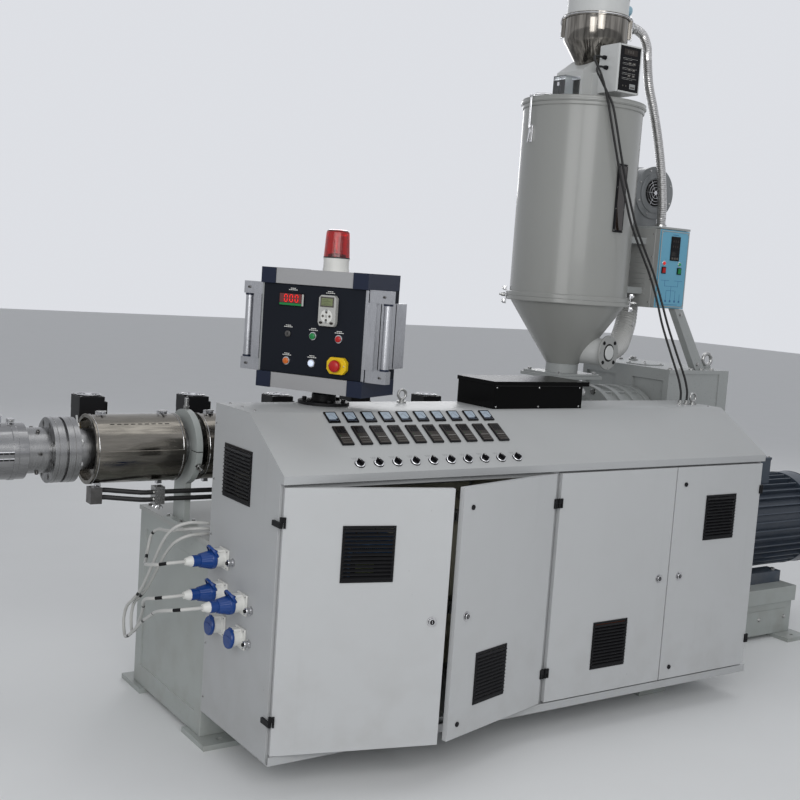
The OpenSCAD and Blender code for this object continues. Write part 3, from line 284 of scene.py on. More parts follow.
BRUSHED, CAST, GLOW, GLASS = Shade.BRUSHED, Shade.CAST, Shade.GLOW, Shade.GLASS
FINISH = Finishes((
    Finish("hood_powder_coat", (0.42, 0.43, 0.43), rough=0.38, grain=1400, bump=0.06, mottle=0.03, grime=0.12),
    # Lit and shaded copies of one powder coat: the doors are painted lighter, and the ends, back, frame and the hood's
    # lower front darker, for how the light falls on them.
    Finish("cabinet_coat_painted_darker", (0.41, 0.42, 0.425), rough=0.42, grain=1400, bump=0.06, mottle=0.03, grime=0.25),
    Finish("door_powder_coat", (0.48, 0.49, 0.495), rough=0.4, grain=1400, bump=0.06, mottle=0.02, grime=0.22),
    Finish("bed_enamel", (0.36, 0.385, 0.37), rough=0.38, grain=500, bump=0.08, grime=0.4),
    Finish("gear_enamel", (0.33, 0.345, 0.34), CAST, rough=0.34, grain=120, bump=0.15, grime=0.2),
    Finish("plate_steel", (0.37, 0.38, 0.365), rough=0.4, grain=400, bump=0.1, mottle=0.08, grime=0.4),
    Finish("dryer_enamel", (0.30, 0.305, 0.29), rough=0.24, grain=500, bump=0.02, mottle=0.02, coat=0.12),
    # Painted highlight: a metal lighter than chrome, standing for the bright reflection on the knob bezels and the lit
    # lips of the heater band's vents.
    Finish("bright_metal_painted_highlight", (0.85, 0.85, 0.87), BRUSHED, rough=0.3, metal=1.0, grain=40, bump=0.0, mottle=0.02),
    Finish("heater_enamel", (0.33, 0.335, 0.325), rough=0.35, bump=0.04, mottle=0.03, grime=0.1),
    Finish("cream_paint", (0.55, 0.53, 0.43), rough=0.5),
    Finish("motor_enamel", (0.05, 0.065, 0.088), CAST, rough=0.4, grain=160, bump=0.15, mottle=0.08, grime=0.4),
    Finish("blower_enamel", (0.185, 0.195, 0.20), rough=0.3, grain=220, bump=0.04, coat=0.2),
    Finish("black_plastic", (0.007, 0.007, 0.008), rough=0.42, grain=2500, bump=0.1, mottle=0.2, spec=0.15),
    Finish("black_gloss", (0.004, 0.004, 0.005), rough=0.16, grain=600, bump=0.02, mottle=0.1, spec=0.14),
    Finish("box_black", (0.004, 0.004, 0.004), rough=0.2, grain=600, bump=0.02, mottle=0.1, spec=0.05),
    Finish("adapter_steel", (0.27, 0.27, 0.272), BRUSHED, rough=0.2, metal=1.0, grain=9, stretch=(1.5, 10, 10),
           bump=0.01, mottle=0.01),
    Finish("black_rubber", (0.009, 0.009, 0.009), rough=0.55, grain=1200, bump=0.1),
    # Painted shade: near-black standing for the shade inside slots, holes, bores, openings and the gaps of joints.
    Finish("painted_void_shade", (0.004, 0.004, 0.004), rough=0.8, grain=400, bump=0.0),
    Finish("white_plastic", (0.66, 0.66, 0.63), rough=0.35, grain=1500, bump=0.03, mottle=0.04),
    Finish("cord_white", (0.50, 0.50, 0.48), rough=0.42, grain=1800),
    Finish("loader_white", (0.60, 0.61, 0.60), rough=0.34, bump=0.03, mottle=0.02),
    Finish("dial_face", (0.36, 0.43, 0.50), rough=0.25, grain=400, bump=0.0, mottle=0.04, coat=0.2),
    Finish("dial_mark", (0.05, 0.05, 0.06), rough=0.4, grain=400, bump=0.0),
    Finish("grey_plastic", (0.28, 0.29, 0.29), rough=0.4, grain=1500),
    Finish("keypad_grey", (0.42, 0.42, 0.40), rough=0.42, grain=1500),
    Finish("key_brown", (0.022, 0.017, 0.014), rough=0.3, grain=1500, bump=0.04, mottle=0.1, spec=0.25),
    Finish("key_light", (0.075, 0.068, 0.06), rough=0.35, grain=1500, bump=0.04, spec=0.3),
    Finish("lcd_olive", (0.16, 0.19, 0.08), rough=0.12, bump=0.0, coat=0.5),
    Finish("digit_red", (0.95, 0.015, 0.01), GLOW, rough=0.3, grain=400, bump=0.0, mottle=0.02, glow=0.9),
    Finish("display_red", (0.10, 0.006, 0.006), GLOW, rough=0.12, grain=400, bump=0.0, glow=0.1, coat=0.5),
    Finish("lamp_green", (0.01, 0.24, 0.12), GLOW, rough=0.2, grain=500, bump=0.0, glow=0.15),
    Finish("lamp_red", (0.65, 0.015, 0.01), GLOW, rough=0.2, grain=500, bump=0.0, glow=0.25),
    Finish("lamp_orange", (0.50, 0.115, 0.015), GLOW, rough=0.2, grain=500, bump=0.0, glow=0.12),
    Finish("lamp_white", (0.70, 0.78, 0.95), GLOW, rough=0.2, grain=500, bump=0.0, glow=0.3),
    Finish("button_green", (0.01, 0.20, 0.05), rough=0.28, bump=0.02),
    Finish("button_red", (0.42, 0.010, 0.010), rough=0.28, bump=0.02),
    Finish("signal_yellow", (0.75, 0.50, 0.01), rough=0.38, bump=0.03),
    Finish("socket_blue", (0.008, 0.045, 0.20), rough=0.24, bump=0.03, mottle=0.08),
    Finish("unit_blue", (0.03, 0.12, 0.28), rough=0.4, mottle=0.06),
    Finish("panel_blue", (0.13, 0.36, 0.50), rough=0.3, bump=0.02, mottle=0.04),
    Finish("pipe_blue", (0.32, 0.50, 0.60), rough=0.35, bump=0.02, mottle=0.04),
    Finish("anthracite", (0.010, 0.012, 0.017), rough=0.4, grain=1800, mottle=0.1, spec=0.1),
    Finish("navy_corner", (0.008, 0.013, 0.032), rough=0.35, grain=1500, spec=0.3),
    Finish("rail_grey", (0.33, 0.33, 0.335), rough=0.4, grain=1500, bump=0.04, mottle=0.03),
    Finish("sight_brown", (0.018, 0.012, 0.009), rough=0.08, grain=400, bump=0.0, mottle=0.3, coat=0.7),
    Finish("brass", (0.60, 0.42, 0.16), BRUSHED, rough=0.3, metal=1.0, grain=40, bump=0.04, mottle=0.1),
    Finish("satin_aluminium", (0.50, 0.505, 0.525), BRUSHED, rough=0.27, metal=1.0, grain=30, stretch=(40, 40, 1),
           bump=0.03, mottle=0.04),
    Finish("stainless", (0.215, 0.20, 0.175), BRUSHED, rough=0.16, metal=1.0, grain=9, stretch=(1.5, 14, 14),
           bump=0.01, mottle=0.06),
    # Painted reflections: the strong mottle gives the hopper's polished steel tall dark and bright streaks in its
    # colour, standing for what it reflects.
    Finish("polished_steel_painted_reflections", (0.28, 0.262, 0.235), BRUSHED, rough=0.08, metal=1.0, grain=9, stretch=(6, 6, 0.5),
           bump=0.006, mottle=0.3),
    Finish("machined_steel", (0.28, 0.28, 0.28), BRUSHED, rough=0.27, metal=1.0, grain=16, stretch=(60, 2, 2),
           bump=0.02, mottle=0.04),
    Finish("dark_steel", (0.16, 0.155, 0.15), BRUSHED, rough=0.35, metal=1.0, grain=24, bump=0.08, mottle=0.12),
    Finish("zinc", (0.46, 0.46, 0.45), BRUSHED, rough=0.25, metal=1.0, grain=60, mottle=0.1),
    Finish("chrome", (0.62, 0.62, 0.63), BRUSHED, rough=0.08, metal=1.0, grain=40, bump=0.0, mottle=0.02),
    Finish("duct_foil", (0.62, 0.61, 0.60), BRUSHED, rough=0.27, metal=1.0, grain=110, bump=1.0, mottle=0.12),
    Finish("wrap_tape", (0.50, 0.50, 0.485), CAST, rough=0.36, grain=45, bump=0.8, mottle=0.12),
    Finish("clear_cover", (0.82, 0.86, 0.88), GLASS, rough=0.06, grain=400, bump=0.0, mottle=0.01),
    Finish("beacon_glass", (0.62, 0.004, 0.004), GLASS, rough=0.04, grain=60, bump=0.01, mottle=0.03, spec=0.25),
))


@dataclass
class Stage:
    """Floor, backdrop, light and camera, in metres and degrees."""

    camera_place: Point = (-3.4325, -4.043, 1.741)
    heading: float = 55.80
    pitch: float = 6.16
    roll: float = 3.95
    lens: float = 52.06
    floor_reach: float = 30.0
    sky: tuple[float, ...] = (0.93, 0.95, 1.0, 1)
    sky_lighting: float = 0.38
    sky_seen: float = 0.78
    lamps: tuple[tuple[str, Point, Point, float, float], ...] = (
        ("window_left", (-4.6, -3.4, 2.6), (-0.6, -0.6, 1.0), 62.0, 2.4),
        ("window_front", (-2.4, -5.2, 3.2), (0.4, -0.5, 1.1), 74.0, 2.6),
        ("window_back", (3.5, 5.5, 4.0), (0.5, 0.2, 1.0), 70.0, 3.0),
        ("roof_light", (1.0, -1.0, 6.5), (0.3, 0, 1.0), 50.0, 4.0),
    )

    def build(self) -> None:
        """Makes the stage and sets the scene's camera."""
        scene = bpy.context.scene
        scene.view_settings.view_transform = "Standard"
        self._camera(scene)
        self._floor()
        self._lights(scene)

    @staticmethod
    def _show(name: str, data: bpy.types.ID) -> bpy.types.Object:
        """An object of that data, in the scene."""
        shown = bpy.data.objects.new(name, data)
        bpy.context.scene.collection.objects.link(shown)
        return shown

    def _camera(self, scene: bpy.types.Scene) -> None:
        """Places the camera where the photograph was taken from."""
        h, p, o = (math.radians(a) for a in (self.heading, self.pitch, self.roll))
        ahead = Vector((math.cos(p) * math.cos(h), math.cos(p) * math.sin(h), -math.sin(p)))
        level = Vector((math.sin(h), -math.cos(h), 0))
        rise = level.cross(ahead)
        right = level * math.cos(o) + rise * math.sin(o)
        up = rise * math.cos(o) - level * math.sin(o)
        data = bpy.data.cameras.new("photograph_view")
        data.sensor_width, data.lens = 36.0, self.lens
        data.clip_start, data.clip_end = 0.05, 100.0
        scene.camera = self._show("photograph_view", data)
        turned = Matrix((right, up, -ahead)).transposed().to_4x4()
        scene.camera.matrix_world = Matrix.Translation(self.camera_place) @ turned

    def _floor(self) -> None:
        """A plain pale floor that shows a soft shadow."""
        far = self.floor_reach
        mesh = bpy.data.meshes.new("floor")
        mesh.from_pydata([(-far, -far, 0), (far, -far, 0), (far, far, 0), (-far, far, 0)], [], [(0, 1, 2, 3)])
        floor = self._show("floor", mesh)
        g = Surface("pale_floor")
        pale = g.mix(g.noise(g.mapped(), 3.0), (0.78, 0.79, 0.79), (0.81, 0.82, 0.82))
        g.set(Base_Color=pale, Roughness=0.6)
        floor.data.materials.append(g.material)

    def _lights(self, scene: bpy.types.Scene) -> None:
        """Soft window light from the left and the front, and a broad fill."""
        scene.world = bpy.data.worlds.new("studio")
        scene.world.use_nodes = True
        g = Graph(scene.world.node_tree)
        ray = g.tree.nodes.new("ShaderNodeLightPath").outputs
        seen = g.math("MAXIMUM", ray["Is Camera Ray"], ray["Is Glossy Ray"])
        seen = g.math("MAXIMUM", seen, ray["Is Transmission Ray"])
        sky = g.tree.nodes["Background"].inputs
        g.feed(sky["Strength"], g.ramp(seen, 0, 1, self.sky_lighting, self.sky_seen))
        g.feed(sky["Color"], self.sky)
        for name, place, aim, energy, size in self.lamps:
            data = bpy.data.lights.new(name, "AREA")
            data.energy, data.size = energy, size
            lamp = self._show(name, data)
            lamp.location = place
            lamp.rotation_euler = (Vector(aim) - Vector(place)).to_track_quat("-Z", "Y").to_euler()


def sharpen(bm: bmesh.types.BMesh, angle: float = 35.0) -> None:
    """Smooth faces with hard edges wherever they meet at more than the angle."""
    limit = math.radians(angle)
    for face in bm.faces:
        face.smooth = True
    for edge in bm.edges:
        edge.smooth = len(edge.link_faces) == 2 and edge.calc_face_angle(0.0) < limit


class CopyTree:
    """A Geometry Nodes tree that copies a mesh along a row or round a ring."""

    inputs = (
        ("Copies", "Int"), ("Start", "Vector"), ("Step", "Vector"), ("Turn", "Float"), ("Lean", "Rotation"),
        ("Finish", "Material"),
    )

    def __init__(self) -> None:
        """Builds the tree."""
        self.group = bpy.data.node_groups.new("copies_in_a_row_or_ring", "GeometryNodeTree")

        def socket(name: str, kind: str, way: str = "INPUT") -> str:
            """Adds a socket to the tree's interface, and names it."""
            new = self.group.interface.new_socket
            return new(name, in_out=way, socket_type="NodeSocket" + kind).identifier

        socket("Geometry", "Geometry")
        self.sockets = {name: socket(name, kind) for name, kind in self.inputs}
        socket("Geometry", "Geometry", "OUTPUT")
        g = Graph(self.group)
        enter = g.tree.nodes.new("NodeGroupInput").outputs
        line = g.node("GeometryNodeMeshLine", {
            "Count": enter["Copies"], "Start Location": enter["Start"], "Offset": enter["Step"]}, mode="OFFSET")
        angle = g.math("MULTIPLY", g.node("GeometryNodeInputIndex", {}), enter["Turn"])
        turned = g.node("FunctionNodeEulerToRotation", {0: g.node("ShaderNodeCombineXYZ", {"Z": angle})})
        copies = g.node("GeometryNodeInstanceOnPoints", {
            "Points": line, "Instance": enter["Geometry"], "Rotation": turned})
        placed = g.node("GeometryNodeTransform", {"Geometry": copies, "Rotation": enter["Lean"]})
        real = g.node("GeometryNodeRealizeInstances", {0: placed})
        paint = g.node("GeometryNodeSetMaterial", {"Geometry": real, "Material": enter["Finish"]})
        g.feed(g.tree.nodes.new("NodeGroupOutput").inputs["Geometry"], paint)

    def run(self, mesh: bpy.types.Mesh, values: dict[str, object]) -> bpy.types.Mesh:
        """Copies a mesh.

        Args:
            mesh: the shape to copy.
            values: the tree's inputs by name.

        Returns:
            One plain mesh with all the copies.
        """
        seed = bpy.data.objects.new("copy_source", mesh)
        bpy.context.scene.collection.objects.link(seed)
        mod = seed.modifiers.new("copies", "NODES")
        mod.node_group = self.group
        for name, value in values.items():
            mod[self.sockets[name]] = value
        graph = bpy.context.evaluated_depsgraph_get()
        result = bpy.data.meshes.new_from_object(seed.evaluated_get(graph))
        bpy.data.objects.remove(seed)
        return result


def on_route(p: Sequence[Vector], i: int, t: float) -> Vector:
    """Point on a smooth curve through a route, at section i and share t of it."""
    n = len(p)
    a, b, c, d = p[max(i - 1, 0)], p[i], p[min(i + 1, n - 1)], p[min(i + 2, n - 1)]
    square, cube = 2 * a - 5 * b + 4 * c - d, 3 * b - a - 3 * c + d
    return 0.5 * ((2 * b) + (c - a) * t + square * t * t + cube * t * t * t)


def route_points(route: Sequence[Point], parts: int) -> list[Vector]:
    """Points along a route, with that many parts in each of its sections."""
    p = [Vector(q) for q in route]
    return [on_route(p, i, k / parts) for i in range(len(p) - 1) for k in range(parts)] + [p[-1]]


def evenly(points: Sequence[Vector], step: float) -> list[Vector]:
    """Points the same distance apart along a line of points, about that step."""
    reach = [0.0]
    for a, b in zip(points, points[1:]):
        reach.append(reach[-1] + (b - a).length)
    count = round(reach[-1] / step)
    spaced, i = [], 0
    for k in range(count):
        at = reach[-1] * k / count
        while reach[i + 1] < at:
            i += 1
        spaced.append(points[i].lerp(points[i + 1], (at - reach[i]) / (reach[i + 1] - reach[i])))
    return spaced + [points[-1]]


def circle(sides: int) -> list[float]:
    """Angles evenly round a circle."""
    return [2 * math.pi * k / sides for k in range(sides)]


def border(a: Point, b: Point, t: float, side: float | None = None) -> list[tuple[Point, Point]]:
    """Four strips along a rectangle's edges: bottom, top, left and right.

    Args:
        a: the rectangle's lower left corner.
        b: its upper right corner.
        t: how wide the bottom and the top strip are.
        side: how wide the left and the right strip are, where that isn't t.

    Returns:
        Each strip's two corners.
    """
    (x0, y0), (x1, y1), s = a, b, side or t
    return [((x0, y0), (x1, y0 + t)), ((x0, y1 - t), (x1, y1)),
            ((x0, y0 + t), (x0 + s, y1 - t)), ((x1 - s, y0 + t), (x1, y1 - t))]


class Pad:
    """Collects bevelled shapes of several finishes, in millimetres, into one piece."""

    copy_tree: CopyTree | None = None

    def __init__(self, name: str) -> None:
        """Starts an empty piece."""
        self.name = name
        self.bm = bmesh.new()
        self.finishes: list[str] = []
        self.where = STILL

    def on(self, matrix: Matrix) -> Pad:
        """The same piece, where new shapes are placed by the matrix."""
        view = copy.copy(self)
        view.where = self.where @ matrix
        return view

    def at(self, x: float, y: float, z: float, turned: Matrix = STILL) -> Pad:
        """The same piece, where new shapes are turned and then moved."""
        return self.on(shift(x, y, z) @ turned)

    def _take(self, part: bmesh.types.BMesh, finish: str) -> None:
        """Adds a shape with its finish and frees it."""
        if finish not in self.finishes:
            self.finishes.append(finish)
        slot = self.finishes.index(finish)
        for face in part.faces:
            face.material_index = slot
        part.transform(self.where)
        mesh = bpy.data.meshes.new("shape")
        part.to_mesh(mesh)
        part.free()
        self.bm.from_mesh(mesh)
        bpy.data.meshes.remove(mesh)

    @staticmethod
    def _soften(part: bmesh.types.BMesh, width: float) -> None:
        """Rounds all the edges of a shape."""
        if width > 0:
            bmesh.ops.bevel(part, geom=part.edges[:], offset=width, segments=2, profile=0.5, affect="EDGES")

    @staticmethod
    def _outward(part: bmesh.types.BMesh) -> None:
        """Turns all the faces outwards."""
        bmesh.ops.recalc_face_normals(part, faces=part.faces[:])

    def box(self, a: Point, b: Point, finish: str, bevel: float = 1.0) -> None:
        """A box between two corners, with softened edges."""
        part = bmesh.new()
        low, high = [min(p, q) for p, q in zip(a, b)], [max(p, q) for p, q in zip(a, b)]
        bmesh.ops.create_cube(part, size=1.0)
        for v in part.verts:
            v.co = [low[i] + (v.co[i] + 0.5) * (high[i] - low[i]) for i in range(3)]
        self._soften(part, min(bevel, min(h - l for l, h in zip(low, high)) * 0.4))
        self._take(part, finish)

    def prism(self, outline: Sequence[Point], depth: float, finish: str, bevel: float) -> None:
        """An outline in the XY plane, counter-clockwise, pushed up along Z."""
        part = bmesh.new()
        face = part.faces.new([part.verts.new((*p, 0)) for p in outline])
        top = bmesh.ops.extrude_face_region(part, geom=[face])["geom"]
        raised = [v for v in top if isinstance(v, bmesh.types.BMVert)]
        bmesh.ops.translate(part, vec=(0, 0, depth), verts=raised)
        self._outward(part)
        self._soften(part, bevel)
        self._take(part, finish)

    def lathe(self, profile: Sequence[tuple[float, float]], finish: str, sides: int = 40,
              wave: Callable[[float], float] = lambda a: 1.0, shell: bool = False) -> None:
        """Turns a profile of (radius, height) pairs about Z, closed at both ends.

        Args:
            profile: the pairs, from the bottom to the top or from inside to outside.
            finish: the finish's name.
            sides: how many faces go round.
            wave: a factor on the radius for each angle, for fluted shapes.
            shell: True where the profile's end meets its start, as on a hollow cover.
        """
        part = bmesh.new()
        rings = []
        for radius, height in profile:
            ring = [(radius * wave(a), a) for a in circle(sides if radius > 1e-4 else 1)]
            rings.append([part.verts.new((r * math.cos(a), r * math.sin(a), height)) for r, a in ring])
        for low, high in zip(rings, rings[1:] + rings[:1] if shell else rings[1:]):
            for k in range(sides if len(low) + len(high) > 2 else 0):
                corners = [low[k % len(low)], low[(k + 1) % len(low)], high[(k + 1) % len(high)], high[k % len(high)]]
                part.faces.new(list(dict.fromkeys(corners)))
        for ring in (rings[0], rings[-1]):
            if len(ring) > 1 and not shell:
                part.faces.new(ring)
        self._outward(part)
        self._take(part, finish)

    def disc(self, r: float, z0: float, z1: float, finish: str, sides: int = 32, edge: float = 1.0) -> None:
        """A cylinder along Z with chamfered rims."""
        e = min(edge, r * 0.3, abs(z1 - z0) * 0.4)
        self.lathe([(r - e, z0), (r, z0 + e), (r, z1 - e), (r - e, z1)], finish, sides)

    def ring(self, r_in: float, r_out: float, z0: float, z1: float, finish: str, sides: int = 40) -> None:
        """A flat ring with a hole, along Z."""
        e = min(0.8, (r_out - r_in) * 0.3, abs(z1 - z0) * 0.3)
        rim = [(r_out - e, z0), (r_out, z0 + e), (r_out, z1 - e), (r_out - e, z1)]
        self._spin([(r_in, z0), *rim, (r_in, z1)], finish, sides)

    def hoop(self, r: float, tube: float, finish: str, sides: int = 40, round_sides: int = 10) -> None:
        """A round ring about Z at z = 0."""
        outline = [(r + tube * math.cos(a), tube * math.sin(a)) for a in circle(round_sides)]
        self._spin(outline, finish, sides)

    def _spin(self, outline: Sequence[tuple[float, float]], finish: str, sides: int) -> None:
        """Turns a closed outline about Z."""
        part = bmesh.new()
        n = len(outline)
        grid = [[part.verts.new((r * math.cos(a), r * math.sin(a), z)) for r, z in outline] for a in circle(sides)]
        for k, i in product(range(sides), range(n)):
            j, m = (i + 1) % n, (k + 1) % sides
            part.faces.new((grid[k][i], grid[k][j], grid[m][j], grid[m][i]))
        self._outward(part)
        self._take(part, finish)

    def sweep(self, points: Sequence[Point], radius: float | Callable[[int], float], finish: str, sides: int = 12,
              bands: Callable[[int], bool] = lambda i: False, band_finish: str = "") -> None:
        """A round tube along points, closed at its ends.

        Args:
            points: the points that it follows.
            radius: its radius, or the radius at each point.
            finish: the finish's name.
            sides: how many faces go round.
            bands: tells which rings of faces take the second finish.
            band_finish: the second finish's name.
        """
        part = bmesh.new()
        p = [Vector(q) for q in points]
        n = len(p)
        rings = []
        lift = Vector((0, 0, 1))
        for i in range(n):
            along = (p[min(i + 1, n - 1)] - p[max(i - 1, 0)]).normalized()
            if i == 0 and abs(along.z) > 0.9:
                lift = Vector((1, 0, 0))
            side = along.cross(lift).normalized()
            lift = side.cross(along).normalized()
            r = radius(i) if callable(radius) else radius
            ring = [p[i] + r * (math.cos(a) * side + math.sin(a) * lift) for a in circle(sides)]
            rings.append([part.verts.new(v) for v in ring])
        marked = []
        for i, k in product(range(n - 1), range(sides)):
            m = (k + 1) % sides
            face = part.faces.new((rings[i][k], rings[i][m], rings[i + 1][m], rings[i + 1][k]))
            if bands(i):
                marked.append(face)
        part.faces.new(rings[0][::-1])
        part.faces.new(rings[-1])
        self._outward(part)
        if marked:
            part.faces.index_update()
            chosen = {f.index for f in marked}
            split = part.copy()
            bmesh.ops.delete(part, geom=marked, context="FACES")
            split.faces.ensure_lookup_table()
            bmesh.ops.delete(split, geom=[f for f in split.faces if f.index not in chosen], context="FACES")
            self._take(split, band_finish)
        self._take(part, finish)

    def row(self, shape: Callable[[Pad], None], count: int, start: Point = (0, 0, 0), step: Point = (0, 0, 0),
            turned: float = 0.0, first: float = 0.0) -> None:
        """Adds copies of a shape, made by Geometry Nodes.

        Args:
            shape: draws the shape on an empty pad.
            count: how many copies there are.
            start: where the first copy stands.
            step: the move from one copy to the next.
            turned: the turn from one copy to the next, in degrees about Z.
            first: the turn of all the copies, in degrees about Z.
        """
        if Pad.copy_tree is None:
            Pad.copy_tree = CopyTree()
        source = Pad("shape_to_copy")
        shape(source)
        for slot, finish in enumerate(source.finishes):
            part = source.bm.copy()
            bmesh.ops.delete(part, geom=[f for f in part.faces if f.material_index != slot], context="FACES")
            mesh = bpy.data.meshes.new("copied_shape")
            part.to_mesh(mesh)
            part.free()
            result = Pad.copy_tree.run(mesh, {
                "Copies": count, "Start": tuple(map(float, start)), "Step": tuple(map(float, step)),
                "Turn": math.radians(turned), "Lean": (0.0, 0.0, math.radians(first)),
                "Finish": FINISH.get(finish)})
            back = bmesh.new()
            back.from_mesh(result)
            self._take(back, finish)
            bpy.data.meshes.remove(result)
            bpy.data.meshes.remove(mesh)
        source.bm.free()

    def round(self, shape: Callable[[Pad], None], count: int, first: float = 0.0) -> None:
        """Adds copies of a shape evenly round Z, all turned by the first angle."""
        self.row(shape, count, turned=360 / count, first=first)

    def hex_bolt(self, size: float, washer: bool = True) -> None:
        """A hexagon head with its washer, standing on z = 0, size across its shaft."""
        if washer:
            self.disc(size * 1.1, 0, size * 0.18, "zinc", 24, 0.3)
        z0 = size * 0.18 if washer else 0.0
        r = size * 0.92
        self.lathe([(r, z0), (r, z0 + size * 0.55), (r * 0.86, z0 + size * 0.65)], "zinc", 6)

    def socket_bolt(self, size: float) -> None:
        """A round head with a hexagon socket, standing on z = 0."""
        r, h = size * 0.75, size
        self.lathe([(r, 0), (r, h * 0.9), (r * 0.9, h), (r * 0.55, h)], "dark_steel", 20)
        # The hexagon socket is a near-black disc, painted shade.
        self.at(0, 0, h - 0.4).disc(size * 0.42, -0.6, 0.45, "painted_void_shade", 6, 0.05)

    def screw(self, r: float, finish: str = "zinc") -> None:
        """A domed screw head with a cross slot, standing on z = 0."""
        self.lathe([(r, 0), (r, r * 0.25), (r * 0.75, r * 0.5), (r * 0.3, r * 0.62), (0, r * 0.64)], finish, 16)
        # The cross slot is near-black, painted shade.
        for a, b in ((0.6, 0.12), (0.12, 0.6)):
            self.box((-r * a, -r * b, r * 0.5), (r * a, r * b, r * 0.68), "painted_void_shade", 0)

    def done(self, body: str = "machine", replaces: Sequence[str] = ()) -> bpy.types.Object:
        """Finishes the piece.

        Args:
            body: the CAD body that it rides on.
            replaces: the CAD nodes that it stands for.

        Returns:
            The piece.
        """
        sharpen(self.bm)
        self.bm.transform(TO_METRES)
        mesh = bpy.data.meshes.new(self.name)
        self.bm.to_mesh(mesh)
        self.bm.free()
        for finish in self.finishes:
            mesh.materials.append(FINISH.get(finish))
        piece = bpy.data.objects.new(self.name, mesh)
        bpy.context.scene.collection.objects.link(piece)
        mod = piece.modifiers.new("even_shading", "WEIGHTED_NORMAL")
        mod.keep_sharp = True
        graph = bpy.context.evaluated_depsgraph_get()
        piece.data = bpy.data.meshes.new_from_object(piece.evaluated_get(graph))
        piece.data.name = self.name
        piece.modifiers.clear()
        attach(piece, body)
        if replaces:
            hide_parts(*replaces)
        LOG.info("%s: %d faces", self.name, len(piece.data.polygons))
        return piece


@dataclass
class Skin:
    """A welded copy of a CAD node with softened edges, its faces dressed by where they are."""

    node: str
    finish: str
    rules: Sequence[tuple[str, Test]]
    bevel: float

    def build(self, frame: dict) -> None:
        """Makes the skin, which stands for its node.

        Args:
            frame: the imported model.
        """
        node = frame["nodes"][self.node]
        bm = bmesh.new()
        bm.from_mesh(node.data)
        bmesh.ops.remove_doubles(bm, verts=bm.verts, dist=2e-5)
        bmesh.ops.dissolve_limit(bm, angle_limit=math.radians(0.5), verts=bm.verts, edges=bm.edges)
        sharpen(bm)
        for face in bm.faces:
            centre = FROM_METRES @ face.calc_center_median()
            hit = [i + 1 for i, (_, test) in enumerate(self.rules) if test(centre, face.normal)]
            face.material_index = hit[0] if hit else 0
        mesh = bpy.data.meshes.new(self.node + "_skin")
        bm.to_mesh(mesh)
        bm.free()
        piece = bpy.data.objects.new(self.node + "_skin", mesh)
        bpy.context.scene.collection.objects.link(piece)
        for name in (self.finish, *(name for name, _ in self.rules)):
            mesh.materials.append(FINISH.get(name))
        if self.bevel > 0:
            mod = piece.modifiers.new("softened_edges", "BEVEL")
            mod.width, mod.segments = self.bevel / 1000, 2
            mod.limit_method, mod.angle_limit = "ANGLE", math.radians(40)
            mod.harden_normals = True
        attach(piece, node["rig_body"])
        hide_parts(self.node)
        LOG.info("dressed %s", self.node)


def dress(frame: dict, nodes: str, finish: str, *rules: tuple[str, Test], bevel: float = 1.2) -> None:
    """Skins several CAD nodes alike.

    Args:
        frame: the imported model.
        nodes: the nodes' names, with spaces between them.
        finish: the finish of every face that no rule picks.
        rules: other finishes, each with its test on a face's centre and normal.
        bevel: how wide the softened edges are.
    """
    for node in nodes.split():
        Skin(node, finish, rules, bevel).build(frame)


@dataclass
class Bed:
    """Welded bed with its top plate, feet, inspection covers and bolts."""

    width: float = 650
    height: float = 750
    high_length: float = 2040
    support_r: float = 142
    bays: tuple[float, ...] = (120, 760, 1400)

    def build(self, frame: dict) -> None:
        """Dresses the bed's nodes and adds its bolts and covers."""
        dress(frame, "bed_frame bed_foot_plates cabinet_outriggers", "bed_enamel", bevel=2.5)
        dress(frame, "barrel_support", "bed_enamel", ("zinc", self._on_stud), bevel=2)
        dress(frame, "bed_top_plate", "plate_steel", bevel=1.5)
        pad = Pad("bed_details")
        self._covers(pad)
        self._plate_bolts(pad)
        self._low_bed(pad)
        self._support(pad)
        pad.done()

    def _on_stud(self, c: Vector, n: Vector) -> bool:
        """Tells the support's studs from its ring and column."""
        return math.hypot(c.y, c.z - AXIS_Z) > self.support_r + 1 and c.z > AXIS_Z - self.support_r

    def _covers(self, pad: Pad) -> None:
        """Screwed covers in the side bays."""
        for (side, out), x in product(SIDES, self.bays):
            y = side * (self.width / 2 - 6)
            pad.box((x, y, 140), (x + 520, y + side * 3, 612), "bed_enamel", 1.5)
            for z in (160, 592):
                pad.row(lambda p: p.on(out).screw(5), 5, (x + 20, y + side * 3, z), (120, 0, 0))

    def _plate_bolts(self, pad: Pad) -> None:
        """Socket bolts that hold the top plate, along both edges."""
        for y in (24 - self.width / 2, self.width / 2 - 20):
            pad.row(lambda p: p.socket_bolt(11), 14, (30, y, self.height - 4), (152, 0, 0))
        for side, out in SIDES:
            place = (80, side * self.width / 2, self.height - 9)
            pad.row(lambda p: p.on(out).socket_bolt(8), 8, place, (270, 0, 0))

    def _low_bed(self, pad: Pad) -> None:
        """Ledges with their bolts under the gearbox and motor."""
        for side, out in SIDES:
            x, y = self.high_length, side * (self.width / 2 - 12)
            pad.box((x + 40, y, 60), (BED_LENGTH - 60, y + side * 2.5, 150), "bed_enamel", 1)
            pad.row(lambda p: p.on(out).hex_bolt(9), 7, (x + 90, y + side * 2.5, 105), (196, 0, 0))

    def _support(self, pad: Pad) -> None:
        """The joint of the barrel support's two halves, and the bolts of its foot."""
        for side, _ in SIDES:
            # The joint between the halves is a near-black strip, painted shade in the gap.
            pad.at(30.5, side * 118, AXIS_Z).box((-12.8, -26, -1.5), (12.8, 24, 1.5), "painted_void_shade", 0.4)
        for x, y in product((4, 57), (-58, 58)):
            pad.at(x, y, self.height + 12).hex_bolt(8)


